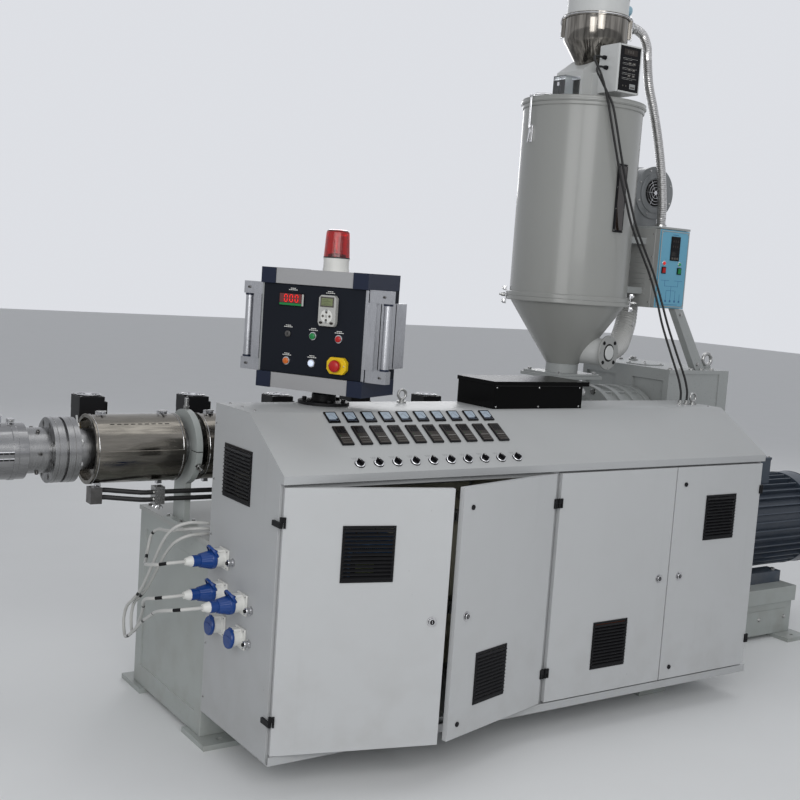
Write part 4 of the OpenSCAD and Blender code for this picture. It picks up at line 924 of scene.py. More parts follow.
@dataclass
class Cabinet:
    """Control cabinet: bent hood, ends, frame, switchgear and what stands on its top."""

    length: float = 2340
    front_y: float = -855
    back_y: float = -325
    slant_z: float = 1080
    top_z: float = 1250
    break_y: float = -587
    lip_z: float = 1053
    plate_y: float = -388
    top_box_x: float = 1055
    ducts: tuple[tuple[float, float], ...] = ((80, 1090), (1260, 2260))
    drives: tuple[tuple[Point, Point, float], ...] = (
        ((430, 520), (690, 760), 190), ((150, 520), (370, 700), 130), ((1367, 480), (1787, 800), 140))

    def build(self, frame: dict) -> None:
        """Dresses the cabinet's nodes and adds its details."""
        dress(frame, "cabinet_hood", "hood_powder_coat",
              ("cabinet_coat_painted_darker", lambda c, n: c.z < self.slant_z and c.y < self.front_y + 5), bevel=1.5)
        # The ends, back and frame take the darker copy of the powder coat, painted shade.
        dress(frame, "cabinet_ends cabinet_back cabinet_frame", "cabinet_coat_painted_darker")
        dress(frame, "cabinet_inner_plates", "cream_paint")
        dress(frame, "cabinet_components", "unit_blue",
              ("zinc", lambda c, n: c.y > self.plate_y - 13),
              ("black_plastic", lambda c, n: c.z > 835 and c.x < 1000),
              ("grey_plastic", lambda c, n: c.x < 400))
        dress(frame, "cable_duct", "grey_plastic")
        dress(frame, "cabinet_fittings", "zinc", ("chrome", lambda c, n: c.x < 0), bevel=0.6)
        dress(frame, "top_box", "box_black", ("zinc", lambda c, n: c.x > 1546 and c.z < 1335), bevel=1.5)
        self._hood()
        self._inside()

    def _hood(self) -> None:
        """Seams and screws of the sheet work, and the box on top."""
        pad = Pad("cabinet_sheet_details")
        for x in (40, 1170, 2300):
            pad.row(lambda p: p.screw(5), 3, (x, self.back_y - 30, self.top_z), (0, -95, 0))
        y, z = self.front_y, self.lip_z
        # The lip's seam line is near-black, painted shade in the gap.
        pad.box((2.5, y + 0.6, z - 1), (self.length - 2.5, y + 2.4, z + 0.5), "painted_void_shade", 0)
        for x, out in ((0, BACK_X), (self.length, ALONG_X)):
            pad.row(lambda p: p.on(out).screw(4.5), 6, (x, self.back_y - 16, 180), (0, 0, 200))
        box = pad.at(self.top_box_x, self.break_y, self.top_z)
        for z in (8, 84):
            box.row(lambda p: p.on(TO_FRONT).screw(4), 3, (14, 22, z), (215, 0, 0))
        # A near-black line, painted shade in a joint gap of the box.
        box.box((-2, 15.4, 90), (488, 17, 92), "painted_void_shade", 0)
        port = box.at(486, 82, 58, ALONG_X)
        port.ring(12, 20, 25, 28, "zinc")
        # The port's bore is a near-black disc, painted shade.
        port.disc(12, 20, 26.4, "painted_void_shade")
        pad.done()

    def _inside(self) -> None:
        """Wiring ducts, contactors, terminals, drives and their cords behind the doors."""
        pad = Pad("switchgear_details")
        front = self.plate_y - 3
        for (x0, x1), z in product(self.ducts, (400, 780, 940)):
            pad.box((x0, front - 40, z), (x1, front + 2, z + 42), "grey_plastic", 1.5)
            self._slots(pad, x0 + 10, x1 - 10, front - 40, z + 6, 14, (5, 1.2, 30))
        pad.row(self._contactor, 7, (1290, front, 850), (84, 0, 0))
        pad.row(self._relay, 8, (130, front - 82, 842), (100, 0, 0))
        for x, count in ((150, 80), (1300, 96)):
            pad.box((x - 10, front - 8, 250), (x + count * 8 + 20, front, 285), "zinc", 1)
            pad.row(self._terminal, count, (x, front - 6, 244), (8.2, 0, 0))
        for (x0, z0), (x1, z1), depth in self.drives:
            y = front - depth
            pad.box((x0 + 12, y - 3, z0 + 30), (x1 - 12, y + 1, z1 - 40), "black_plastic", 1.5)
            pad.box((x0 + 30, y - 5, z1 - 110), (x0 + 110, y - 2, z1 - 70), "lcd_olive", 0.8)
            self._slots(pad, x0 + 20, x1 - 20, y, z1 - 28, 9, (3, 0.8, 18))
            for x, z in product((x0 + 10, x1 - 10), (z0 + 10, z1 - 10)):
                pad.at(x, y, z, TO_FRONT).screw(4)
        bend = ((0, -50, 778), (4, -70, 760), (14, -74, 740), (20, -60, 722), (20, -30, 712))
        for x in range(180, 990, 90):
            route = [(x + a, front + b, c) for a, b, c in bend]
            pad.sweep(route_points(route, 3), 3, "black_rubber", 8)
        pad.done()

    @staticmethod
    def _slots(pad: Pad, x0: float, x1: float, y: float, z: float, pitch: float, size: Point) -> None:
        """A row of slots in a front face, from x0 to x1, each of that width, depth and height, painted near-black for
        the shade in them.
        """
        w, d, h = size
        pad.row(lambda p: p.box((0, -d, 0), (w, 0.4, h), "painted_void_shade", 0), int((x1 - x0) / pitch), (x0, y, z),
                (pitch, 0, 0))

    @staticmethod
    def _contactor(one: Pad) -> None:
        """One contactor with its terminal screws."""
        one.box((0, -76, 0), (58, 2, 78), "black_plastic", 2)
        one.box((6, -80, 24), (52, -74, 56), "grey_plastic", 1.5)
        one.box((22, -84, 34), (36, -79, 46), "white_plastic", 1)
        for z, x in product((8, 70), (12, 29, 46)):
            one.at(x, -75, z, TO_FRONT).screw(4, "brass")

    @staticmethod
    def _relay(one: Pad) -> None:
        """A relay's face and button."""
        one.box((8, -4, 8), (62, 0, 66), "grey_plastic", 2)
        one.box((24, -9, 26), (46, -3, 48), "key_light", 1)

    @staticmethod
    def _terminal(one: Pad) -> None:
        """One rail terminal."""
        one.box((0, -44, 0), (7, 2, 46), "keypad_grey", 0.8)
        # The orange tag takes the glowing lamp finish, a painted glow, though it is no lamp.
        one.box((1, -46, 18), (6, -43, 28), "lamp_orange", 0.3)
        one.at(3.5, -44, 10, TO_FRONT).screw(2, "brass")


@dataclass(frozen=True)
class DoorPlan:
    """One door: its edges, which side its hinges are on, how far it stands open, and its vent."""

    left: float
    right: float
    hinged_left: bool
    rest: float
    vent_x: float
    vent_z: float


@dataclass
class Doors:
    """Four sheet doors with vents, locks, hinges and seals."""

    front_y: float = -855
    low: float = 155
    high: float = 1045
    depth: float = 20
    lock_z: float = 590
    vent_w: float = 183
    vent_h: float = 190
    plans: tuple[DoorPlan, ...] = (
        DoorPlan(4, 587, True, 15, 203, 731),
        DoorPlan(593, 1153, False, 15, 726, 254),
        DoorPlan(1181, 1799, True, 0, 1406, 254),
        DoorPlan(1805, 2325, False, 0, 1988, 731),
    )

    def swung(self, plan: DoorPlan) -> Matrix:
        """Where a closed door's shapes stand at rest."""
        side = -1 if plan.hinged_left else 1
        x = plan.left - 7 if plan.hinged_left else plan.right + 7
        y = self.front_y - 2
        return shift(x, y, 0) @ turn(side * plan.rest, "Z") @ shift(-x, -y, 0)

    def build(self, frame: dict) -> None:
        """Dresses each door and adds its fittings."""
        dress(frame, "hinge_pins", "black_plastic", bevel=0.6)
        for i, plan in enumerate(self.plans):
            name = f"door_{i + 1}"
            body = frame["nodes"][name]["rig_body"]
            # The doors take the lighter copy of the cabinet's powder coat, painted light.
            dress(frame, name, "door_powder_coat", bevel=1.5)
            back = self.swung(plan).inverted()
            dress(frame, name + "_fittings", "black_plastic",
                  ("black_plastic", lambda c, n: self._in_vent(plan, back @ c)),
                  ("chrome", lambda c, n: self._on_lock(back @ c)), bevel=0.5)
            pad = Pad(name + "_details")
            self._details(pad.on(self.swung(plan)), plan)
            pad.done(body)

    def _in_vent(self, plan: DoorPlan, q: Vector) -> bool:
        """Tells the louvre's faces from the lock and the hinges."""
        x, z = plan.vent_x, plan.vent_z
        return x - 5 < q.x < x + self.vent_w + 5 and z - 5 < q.z < z + self.vent_h + 5

    def _on_lock(self, q: Vector) -> bool:
        """Tells the lock's ring from the rest."""
        return abs(q.z - self.lock_z) < 20 and q.y > self.front_y - 5

    def _details(self, pad: Pad, plan: DoorPlan) -> None:
        """Lock slot, vent screws, rubber seal and stiffener of one door."""
        y, left, right = self.front_y, plan.left, plan.right
        lock = pad.at(right - 52 if plan.hinged_left else left + 60, y - 7, self.lock_z, TO_FRONT)
        lock.ring(8.5, 12.4, -0.5, 1.4, "chrome")
        lock.disc(8.6, -0.5, 0.8, "black_gloss", 24)
        lock.box((-1.2, -5.5, 0.6), (1.2, 5.5, 1.6), "chrome", 0.3)
        for x, z in product((7, self.vent_w - 7), (7, self.vent_h - 7)):
            pad.at(plan.vent_x + x, y - 3, plan.vent_z + z, TO_FRONT).screw(2.6, "black_plastic")
        for a, b in border((left + 4, self.low + 4), (right - 4, self.high - 4), 8):
            pad.box((a[0], y + 3, a[1]), (b[0], y + self.depth - 1, b[1]), "black_rubber", 1.5)
        middle = (left + right) / 2
        crossed = plan.vent_x < middle + 20 and plan.vent_x + self.vent_w > middle - 20
        top = plan.vent_z - 12 if crossed and plan.vent_z > self.lock_z else self.high - 30
        base = plan.vent_z + self.vent_h + 12 if crossed and plan.vent_z < self.lock_z else self.low + 30
        pad.box((middle - 18, y + 2.5, base), (middle + 18, y + 15, top), "door_powder_coat", 2)
        edge = right - 22 if plan.hinged_left else left + 22
        if not plan.vent_x < edge < plan.vent_x + self.vent_w:
            for z in (330, 860):
                pad.box((edge - 8, y + 2.5, z), (edge + 8, y + 14, z + 60), "zinc", 1)


@dataclass
class Instruments:
    """Ten ammeters, controllers and selector knobs on the slanted panel."""

    start: float = 303
    pitch: float = 75.5
    count: int = 10
    meter_u: float = 283
    controller_u: float = 186
    knob_u: float = 45

    @property
    def slant(self) -> Matrix:
        """The slanted panel's own frame: X along the machine, Y up the slant, Z out of it."""
        return shift(0, -855, 1080) @ turn(math.degrees(math.atan2(170, 268)), "X")

    def build(self, frame: dict) -> None:
        """Replaces the plain instruments with detailed ones."""
        for name, node, draw, u in (("ammeter_row", "ammeters", self._meter, self.meter_u),
                                    ("controller_row", "temperature_controllers", self._controller, self.controller_u),
                                    ("selector_row", "selector_knobs", self._knob, self.knob_u)):
            pad = Pad(name)
            pad.on(self.slant).row(draw, self.count, (self.start, u, 0), (self.pitch, 0, 0))
            pad.done(replaces=[node])

    @staticmethod
    def _meter(one: Pad) -> None:
        """A moving-iron meter: black frame, pale face with its scale, needle and corner boss."""
        one.box((-24, -28, 0), (24, 28, 6), "black_gloss", 2)
        one.box((-22, -24, -32), (22, 24, 0.5), "black_plastic", 1)
        one.box((-18.5, -21, 5), (18.5, 22, 6.8), "dial_face", 0.8)
        one.box((-18.5, -21, 6.4), (18.5, -15.5, 7.2), "navy_corner", 0.4)
        pivot = one.at(14, -15, 6.8)
        for k in range(11):
            inner, half = (29, 0.5) if k % 5 == 0 else (31, 0.28)
            pivot.on(turn(92 + k * 8.6, "Z")).box((inner, -half, -0.3), (34, half, 0.2), "dial_mark", 0)
        pivot.on(turn(120, "Z")).box((3, -0.35, 0), (31, 0.35, 0.4), "dial_mark", 0)
        pivot.disc(4.5, 0, 1.6, "black_plastic", 20)

    @staticmethod
    def _controller(one: Pad) -> None:
        """A 48 x 96 controller: frame, display window with digits, lamps and a band of keys."""
        one.box((-24, -48, 0), (24, 48, 7), "black_plastic", 2.2)
        one.box((-22, -46, -70), (22, 46, 0.5), "black_plastic", 1)
        one.box((-20.5, -44, 6.4), (20.5, 44, 8), "key_brown", 0.8)
        one.box((-17, 9, 7.6), (17, 38, 8.5), "black_gloss", 0.5)
        for (y, w), x in product(((28, 2.0), (15, 1.7)), (-10.5, 0, 10.5)):
            h, s = w * 1.6, w * 1.5
            for x0, y0, x1, y1 in ((-w, h, w, h + 0.8), (-w, -h - 0.8, w, -h), (-w, -0.4, w, 0.4), (w, -s, w + 0.8, s)):
                one.box((x + x0, y + y0, 8.3), (x + x1, y + y1, 8.7), "key_brown", 0)
        one.box((-17, -14.5, 7.8), (17, -13.5, 8.6), "keypad_grey", 0.2)
        for k in range(4):
            one.at(-13.5 + k * 9, -4, 7.8).disc(1.3, 0, 0.8, "key_light" if k else "button_green", 12, 0.2)
        one.box((-18, -41, 7.8), (18, -12, 8.4), "key_light", 0.6)
        for k, y in product(range(4), (-37, -25)):
            x = -16.5 + k * 8.6
            one.box((x, y, 8.2), (x + 7, y + 8, 9.6), "key_brown", 1)

    @staticmethod
    def _knob(one: Pad) -> None:
        """A selector switch: bright bezel over a black collar, black wing knob with a white strip, under a pale mark.
        The collar is painted shade for the dark outline round the bezel, and the white strip is a painted highlight on
        the wing.
        """
        one.disc(10.8, -25, 0.4, "grey_plastic", 24)
        # Black collar: painted shade, the dark outline round the bezel.
        one.lathe([(18.6, 0), (18.6, 1.6), (17.8, 2.6), (0, 2.6)], "black_gloss")
        one.lathe([(17, 2.4), (17, 4), (16, 5.4), (13.8, 5.8), (13.4, 4.4), (0, 4.4)], "bright_metal_painted_highlight")
        one.lathe([(13.4, 4), (13.4, 9), (12.4, 10.4), (0, 10.8)], "black_gloss", 32)
        wing = one.on(turn(25, "Z"))
        tip = [(-4, -11), (-1.8, -13.4), (1.8, -13.4), (4, -11)]
        wing.prism(tip + [(-x, -y) for x, y in tip], 19, "black_gloss", 0.8)
        # White strip along the wing's top: painted highlight.
        wing.box((-0.8, 2, 18.6), (0.8, 12, 19.3), "white_plastic", 0.1)
        for x, y in ((-20, 30), (-12, 30), (-4, 30), (-16, 25), (-8, 25), (10, 25)):
            one.box((x, y, -0.1), (x + 5.5, y + 2, 0.3), "grey_plastic", 0)


@dataclass
class Console:
    """Operator's console on its pedestal, with its display, keypad, switches and beacon."""

    place: tuple[float, float, float] = (406, -378, 1302)
    yaw: float = -62
    width: float = 450
    height: float = 435
    front: float = 115
    rail: float = 55
    buttons: tuple[tuple[float, float, str], ...] = (
        (6, 200, "button_green"), (114, 198, "button_red"), (-102, 102, "lamp_orange"), (6, 102, "lamp_white"))
    key_switch: tuple[float, float] = (-102, 204)

    @property
    def own(self) -> Matrix:
        """The console's own frame: front towards -Y, z = 0 at its underside."""
        return shift(*self.place) @ turn(self.yaw, "Z")

    def build(self, frame: dict) -> None:
        """Dresses the console's nodes and adds its face."""
        body = frame["nodes"]["console_housing"]["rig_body"]
        back, corner = self.own.inverted(), self.width / 2 - 62.5
        dress(frame, "console_pedestal", "black_plastic", bevel=1.5)
        dress(frame, "console_housing", "anthracite",
              ("keypad_grey", lambda c, n: (back @ c).y > self.front - 1), bevel=2)
        dress(frame, "console_trim", "rail_grey", ("navy_corner", lambda c, n: abs((back @ c).x) > corner), bevel=4)
        dress(frame, "console_handles", "satin_aluminium", bevel=4)
        pad = Pad("console_face")
        face = pad.on(self.own).at(0, 8 - self.front, 0, TO_FRONT)
        self._display(face)
        self._keypad(face)
        self._switches(face)
        self._stop(face)
        pad.done(body, ["console_controls"])
        pad = Pad("console_details")
        self._body(pad.on(self.own))
        pad.done(body)
        pad = Pad("beacon")
        self._beacon(pad.on(self.own).at(30, -20, self.height))
        pad.done(body, ["warning_beacon"])

    @staticmethod
    def _figure(pad: Pad) -> None:
        """A lit figure of six strokes."""
        w, h, t = 6, 12.6, 1.92
        for x, y in ((0, 2), (1, 1), (1, -1), (0, -2), (-1, -1), (-1, 1)):
            dx, dy = (t / 2, h / 2 - t) if x else (w - t, t / 2)
            cx, cy = x * w, y * h / 2
            pad.box((cx - dx, cy - dy, 7.0), (cx + dx, cy + dy, 7.7), "digit_red", 0)

    def _display(self, pad: Pad) -> None:
        """Display with three lit figures, its green strip and its grey edge."""
        pad.box((-148, 300, 0), (-40, 348, 5), "black_gloss", 2)
        pad.box((-144, 312, 4.6), (-50, 345, 6), "display_red", 1)
        pad.box((-144, 303, 4.6), (-50, 311, 6), "button_green", 0.8)
        pad.box((-48.5, 303, 4.6), (-41, 345, 6), "keypad_grey", 0.8)
        for x in (-116, -93, -70):
            self._figure(pad.at(x, 328.5, 0))

    @staticmethod
    def _keypad(pad: Pad) -> None:
        """Drive keypad: olive window, and a cluster of round keys."""
        outline = [(32, 252), (38, 240), (98, 240), (104, 252), (104, 340), (96, 350), (40, 350), (32, 340)]
        pad.prism(outline, 20, "keypad_grey", 3)
        pad.box((40, 308, 19.4), (96, 344, 21.4), "key_light", 1.5)
        pad.box((45, 313, 21), (91, 339, 22), "lcd_olive", 0.4)
        for k in range(4):
            y = 316 + k * 5.6
            pad.box((48, y, 21.8), (84 - 9 * (k % 2), y + 1, 22.1), "key_brown", 0)
        dial = pad.at(68, 276, 19.5)
        dial.disc(24, 0, 1.8, "white_plastic", 40, 0.6)
        for finish, reach, size, count, first in (("key_light", 14, 4.6, 4, 0), ("grey_plastic", 20, 5, 2, 90)):
            dial.round(lambda p: p.at(reach, 0, 1.6).disc(size, 0, 2.2, finish, 20, 0.8), count, first)
        dial.disc(5, 1.6, 3.6, "keypad_grey", 20, 0.8)
        for x in (46, 90):
            pad.at(x, 252, 19.6, Matrix.Diagonal((1.5, 0.9, 1, 1))).disc(5, 0, 2.6, "key_brown", 20, 0.8)

    def _switches(self, pad: Pad) -> None:
        """Buttons, lamps and the key switch, each under two rows of fine pale marks."""
        for x, y, finish in self.buttons:
            button = pad.at(x, y, 0)
            button.lathe([(16, 0), (16, 2), (14.4, 5), (12, 5.6), (11.6, 4), (0, 4)], "chrome", 36)
            button.lathe([(11, 3.6), (11, 9.4), (9.2, 11), (0, 12.2)], finish, 32)
        marked = [(x, y) for x, y, _ in self.buttons] + [self.key_switch, (-90, 338), (68, 336), (120, 104)]
        for (x, y), (rise, count) in product(marked, ((20, 5), (25.5, 3))):
            pad.row(lambda p: p.box((0, 0, -0.1), (6.2, 2.6, 0.35), "white_plastic", 0), count,
                    (x - count * 3.8, y + rise, 0), (7.6, 0, 0))
        key = pad.at(-102, 200, 0)
        key.lathe([(12, 0), (12, 4), (10.5, 6), (0, 6.2)], "dark_steel", 32)
        # The key slot is near-black, painted shade.
        key.box((-1.2, -5, 6), (1.2, 5, 6.8), "painted_void_shade", 0)

    @staticmethod
    def _stop(pad: Pad) -> None:
        """Emergency stop: yellow box with cut corners and red mushroom head."""
        outline = [(80, 90), (94, 74), (146, 74), (160, 90), (160, 118), (146, 134), (94, 134), (80, 118)]
        pad.prism(outline, 20, "signal_yellow", 3)
        for x in (90, 151):
            pad.at(x, 104, 19.8).screw(2.6)
        head = pad.at(122, 104, 20)
        head.ring(19, 25, 0, 1.8, "signal_yellow")
        head.lathe([(14, 0), (14, 8), (19.5, 9), (21.6, 12), (21.6, 17), (19.5, 22), (14, 25), (0, 26)], "button_red", 48)

    def _body(self, pad: Pad) -> None:
        """Edge strips, rear cover with its screws and slots, handle caps and the joint lines of the rails."""
        half, front, rail, top = self.width / 2, self.front, self.rail, self.height - self.rail
        pad.box((half - 12, 6.4 - front, rail + 2), (half - 1, 9 - front, top - 2), "satin_aluminium", 0.8)
        pad.box((1 - half, 7 - front, rail + 2), (8 - half, 9 - front, top - 2), "grey_plastic", 0.6)
        pad.box((18 - half, front - 1, rail + 14), (half - 18, front + 2.5, top - 14), "anthracite", 2)
        for z in (rail + 26, top - 26):
            pad.row(lambda p: p.on(TO_BACK).screw(4), 5, (32 - half, front + 2.5, z), (96.5, 0, 0))
        # Slots in the rear cover are near-black, painted shade.
        pad.row(lambda p: p.box((0, -0.5, 0), (4, 1, 46), "painted_void_shade", 0), 16, (-76, front + 2.2, 120), (10, 0, 0))
        for s, _ in SIDES:
            for z in (rail + 45, top - 52):
                pad.at(s * (half + 68), 29 - front, z).ring(14.6, 17, 0, 7, "navy_corner")
            for z in (rail + 22, top - 22):
                pad.at(s * (half + 60), 12 - front, z, TO_FRONT).socket_bolt(6)
            # Near-black joint lines, painted shade in the gaps.
            pad.row(lambda p: p.box((-1.5, -0.6, 0), (1.5, 0.6, top - rail - 94), "painted_void_shade", 0), 3,
                    (s * (half + 34), 40 - front, rail + 47), (0, 55, 0))
            x = s * (half - 62)
            for z in (0, top):
                # Near-black joint lines of the rails, painted shade in the gaps.
                pad.box((x - 0.8, -front - 0.4, z + 1), (x + 0.8, 3 - front, z + rail - 1), "painted_void_shade", 0)

    @staticmethod
    def _beacon(pad: Pad) -> None:
        """Fluted red lens over its lamp and turning mirror, on a white base."""
        pad.lathe([(48, 0), (48, 8), (46, 12), (46, 40), (47, 42), (47, 49), (45, 50), (0, 50)], "white_plastic", 48)
        outer = [(46.6, 50.5), (46.2, 60), (44, 100), (42, 136), (40.5, 142.5), (37, 147), (28, 149.6), (0, 150)]
        inner = [(0, 146.6), (28, 146.2), (36, 143), (38, 138), (39.6, 120), (41, 100), (43, 60), (43.4, 50.5)]
        pad.lathe(outer + inner, "beacon_glass", 120, lambda a: 1 + 0.008 * math.cos(a * 40), True)
        pad.lathe([(34, 50), (34, 60), (20, 64), (12, 66), (12, 80), (0, 80)], "black_plastic", 32)
        pad.lathe([(9, 80), (13, 88), (14, 100), (11, 112), (0, 118)], "lamp_orange", 24)
        for angle in range(-60, 61, 20):
            pad.at(0, 0, 66, turn(angle, "Z")).box((22, -4.4, 0), (23.4, 4.4, 62), "chrome", 0.3)
        pad.at(0, 0, 49).ring(45.8, 47.8, -2, 2.2, "black_rubber")


@dataclass
class Sockets:
    """Five wall sockets on the die end: three with plugs, two closed."""

    places: tuple[tuple[float, float, bool], ...] = (
        (-461, 720, True), (-461, 602, True), (-617, 602, True), (-461, 484, False), (-617, 484, False))
    glands: tuple[tuple[float, float], ...] = ((-526, 720), (-679, 594), (-678, 479))
    plate: float = 36
    r: float = 31

    def build(self, frame: dict) -> None:
        """Replaces the plain sockets with detailed ones."""
        pad = Pad("wall_sockets")
        for y, z, plugged in self.places:
            own = pad.at(0, y, z, BACK_X)
            self._base(own)
            (self._plug if plugged else self._lid)(own)
        for y, z in self.glands:
            own = pad.at(-21.5, y, z, BACK_X)
            own.lathe([(12.6, -6), (12.6, -1), (11, 1.2), (7, 1.6), (0, 1.6)], "chrome", 28)
            own.disc(6.5, 1, 6, "black_plastic", 20)
        pad.done(replaces=["end_sockets"])
        dress(frame, "end_vent", "black_plastic", bevel=0.5)

    def _base(self, pad: Pad) -> None:
        """Square flange, barrel and hinge block, local X up and Z out of the wall."""
        p, r = self.plate, self.r
        pad.box((-p, -p, 0), (p, p, 8), "white_plastic", 3)
        pad.lathe([(r - 1, 7), (r - 1, 11), (r - 3, 13), (r - 3, 43), (r - 4, 44)], "white_plastic", 48)
        for x, y in product((7 - p, p - 7), (7 - p, p - 7)):
            pad.at(x, y, 7.6).screw(3)
        pad.box((p - 11, -14, 8), (p - 1, 14, 40), "white_plastic", 2)
        pad.at(p - 6, 0, 40, TO_FRONT).disc(4.5, -15, 15, "socket_blue", 20)

    def _plug(self, pad: Pad) -> None:
        """Blue plug body with grip ribs, collar, white gland cap and the lifted flap."""
        r = self.r
        pad.lathe([(r - 3, 40), (r + 1.2, 42.5), (r + 2, 45), (r + 2, 56), (r + 1, 58), (r - 1, 60)], "socket_blue", 48)
        pad.lathe([(r - 1, 58), (r + 0.6, 60), (29, 72), (25.5, 88), (23.8, 97), (22, 98)], "socket_blue", 96,
                  lambda a: 1 + 0.018 * max(-0.4, math.cos(a * 16)))
        pad.lathe([(20.5, 96), (20.5, 123), (18.5, 124.5)], "socket_blue", 12)
        pad.lathe([(18.6, 123), (18.6, 128), (17.4, 133), (14, 142), (12.2, 149.4), (6, 150)], "white_plastic", 24)
        flap = [(r - 1, 0), (r, 1.5), (r, 7.5), (r - 1.5, 9), (r - 4, 9), (r - 4.5, 6), (0, 6)]
        pad.at(self.plate - 8, 0, 44, turn(-35, "Y")).lathe(flap, "socket_blue", 48)

    def _lid(self, pad: Pad) -> None:
        """Closed blue lid on its spring hinge."""
        r = self.r + 3
        lid = pad.at(0, 0, 44, turn(6, "Y")).at(0, 0, -3)
        lid.lathe([(r - 1.5, 0), (r, 1.5), (r, 8), (r - 2.5, 11.4), (r - 7, 12), (0, 11)], "socket_blue", 48)
        lid.box((-6, 4 - r, 11), (6, r - 4, 13), "socket_blue", 1)
        lid.box((r - 6, -8, 2), (r + 4, 8, 9), "socket_blue", 1.5)
        lid.box((-9, -13, 10.6), (9, 13, 13.4), "socket_blue", 1.2)


@dataclass
class BarrelGroup:
    """Barrel with its flange joint, die adapter, heater covers, fans and conduit clamp."""

    cover_r: float = 128
    joint_x: float = -452
    flange_r: float = 117
    adapter_x: float = -580.5
    adapter_r: float = 99
    covers: tuple[tuple[float, float], ...] = ((-353, 337), (70, 360), (448, 360), (826, 360), (1204, 360))
    probe_lead: tuple[Point, ...] = (
        (-366, 76, 1118), (-366, 92, 1124), (-362, 108, 1100), (-352, 112, 1060), (-330, 108, 1000), (-318, 84, 950),
        (-316, 30, 905))

    def build(self, frame: dict) -> None:
        """Dresses the nodes along the screw axis and adds their details."""
        x, latch_z = self.adapter_x, self.cover_r + 0.5
        dress(frame, "barrel", "machined_steel")
        dress(frame, "barrel_flanges", "machined_steel", bevel=2)
        dress(frame, "barrel_conduits", "black_rubber",
              ("dark_steel", lambda c, n: c.x < -299.5), ("zinc", lambda c, n: -113 < c.x < -73), bevel=0)
        dress(frame, "die_adapter", "adapter_steel",
              ("machined_steel", lambda c, n: c.x > x + 0.5 or c.x < x - 190.5),
              ("chrome", lambda c, n: c.z > AXIS_Z + self.adapter_r + 4), bevel=1)
        dress(frame, "heater_covers", "stainless",
              ("chrome", lambda c, n: abs(c.z - AXIS_Z) > latch_z), bevel=0.8)
        self._joint()
        self._adapter()
        self._covers()
        pad = Pad("cooling_fan_row")
        for x, _ in self.covers:
            self._fan(pad.at(x + 66, self.cover_r + 8, AXIS_Z))
        pad.done(replaces=["cooling_fans"])

    def _joint(self) -> None:
        """Bolts and steps of the flange joint, its probe, and the conduit clamp's wing nuts."""
        pad = Pad("flange_joint")
        x, r = self.joint_x, self.flange_r
        face = pad.at(x - 44.5, 0, AXIS_Z, BACK_X)
        face.round(lambda p: p.at(r - 20, 0, -14).socket_bolt(13), 8, 112.5)
        face.ring(r - 38, r - 36, -0.4, 0.8, "dark_steel")
        pad.at(x + 48.5, 0, AXIS_Z, ALONG_X).round(lambda p: p.at(r - 20, 0, 0).hex_bolt(13), 8, 22.5)
        for t in (x - 30, x + 28):
            pad.at(t, 0, AXIS_Z, ALONG_X).hoop(r - 0.3, 0.9, "dark_steel", 64, 6)
        probe = pad.at(-366, 40, AXIS_Z + 62, turn(-33, "X"))
        probe.disc(9, 0, 26, "brass", 6, 0.6)
        probe.disc(4, 26, 60, "zinc", 16)
        for y in (-74, -46):
            nut = pad.at(-93, y, 838, turn(180, "X"))
            nut.disc(4, -4, 20, "zinc", 14)
            nut.disc(7.5, 2, 10, "chrome", 20)
            for s, _ in SIDES:
                nut.sweep([(s * 5, 0, 5), (s * 11, 0, 9), (s * 15, 0, 16)], 2.8, "chrome", 8)
        pad.sweep(route_points(self.probe_lead, 4), 4, "duct_foil", 10)
        pad.done()

    def _adapter(self) -> None:
        """Band heater's straps, clamp box, terminal, and the bolts of the outlet face."""
        pad = Pad("band_heater")
        x, r, top = self.adapter_x, self.adapter_r, AXIS_Z + self.adapter_r
        for t in (x - 150, x - 52):
            for y in (-14, 4):
                pad.box((t - 2, y, top - 2), (t + 20, y + 10, top + 16), "chrome", 1.5)
            bolt = pad.at(t + 9, -22, top + 9, TO_BACK)
            bolt.disc(3, 0, 44, "zinc", 14)
            bolt.lathe([(5.4, 0), (5.4, 5)], "zinc", 6)

        def vent(one: Pad) -> None:
            """A slot in the band, painted near-black for the shade in it, with its raised lip painted bright as a
            highlight.
            """
            one.box((0, -3.2, r - 1), (17, 3.2, r + 0.8), "painted_void_shade", 0)
            one.box((-1, 3, r - 1), (18, 6.4, r + 2), "bright_metal_painted_highlight", 0.6)

        for lean in (-4, 9, 171, 184):
            pad.row(lambda p: vent(p.at(0, 0, AXIS_Z, turn(90 + lean, "X"))), 4, (x - 126, 0, 0), (19.5, 0, 0))
        pad.box((x - 114, -18, top + 24.5), (x - 76, 18, top + 26.6), "chrome", 1)
        for y in (-9, 9):
            pad.at(x - 95, y, top + 26).screw(3.4)
        neck = pad.at(x, 0, AXIS_Z, ALONG_X)
        neck.round(lambda p: p.at(80.5, 0, 42, ALONG_X).socket_bolt(9), 6, 30)
        neck.hoop(81, 1.2, "dark_steel", 56, 6)
        outlet = pad.at(x - 230, 0, AXIS_Z, BACK_X)
        # Bolt holes and the bore of the outlet face are near-black discs, painted shade.
        outlet.round(lambda p: p.at(58, 0, 0).disc(6.5, -0.5, 0.6, "painted_void_shade", 20, 0.1), 6, 30)
        outlet.ring(22, 24, -0.3, 0.7, "dark_steel")
        outlet.disc(22, -0.3, 0.3, "painted_void_shade", 36, 0.1)
        pad.done()

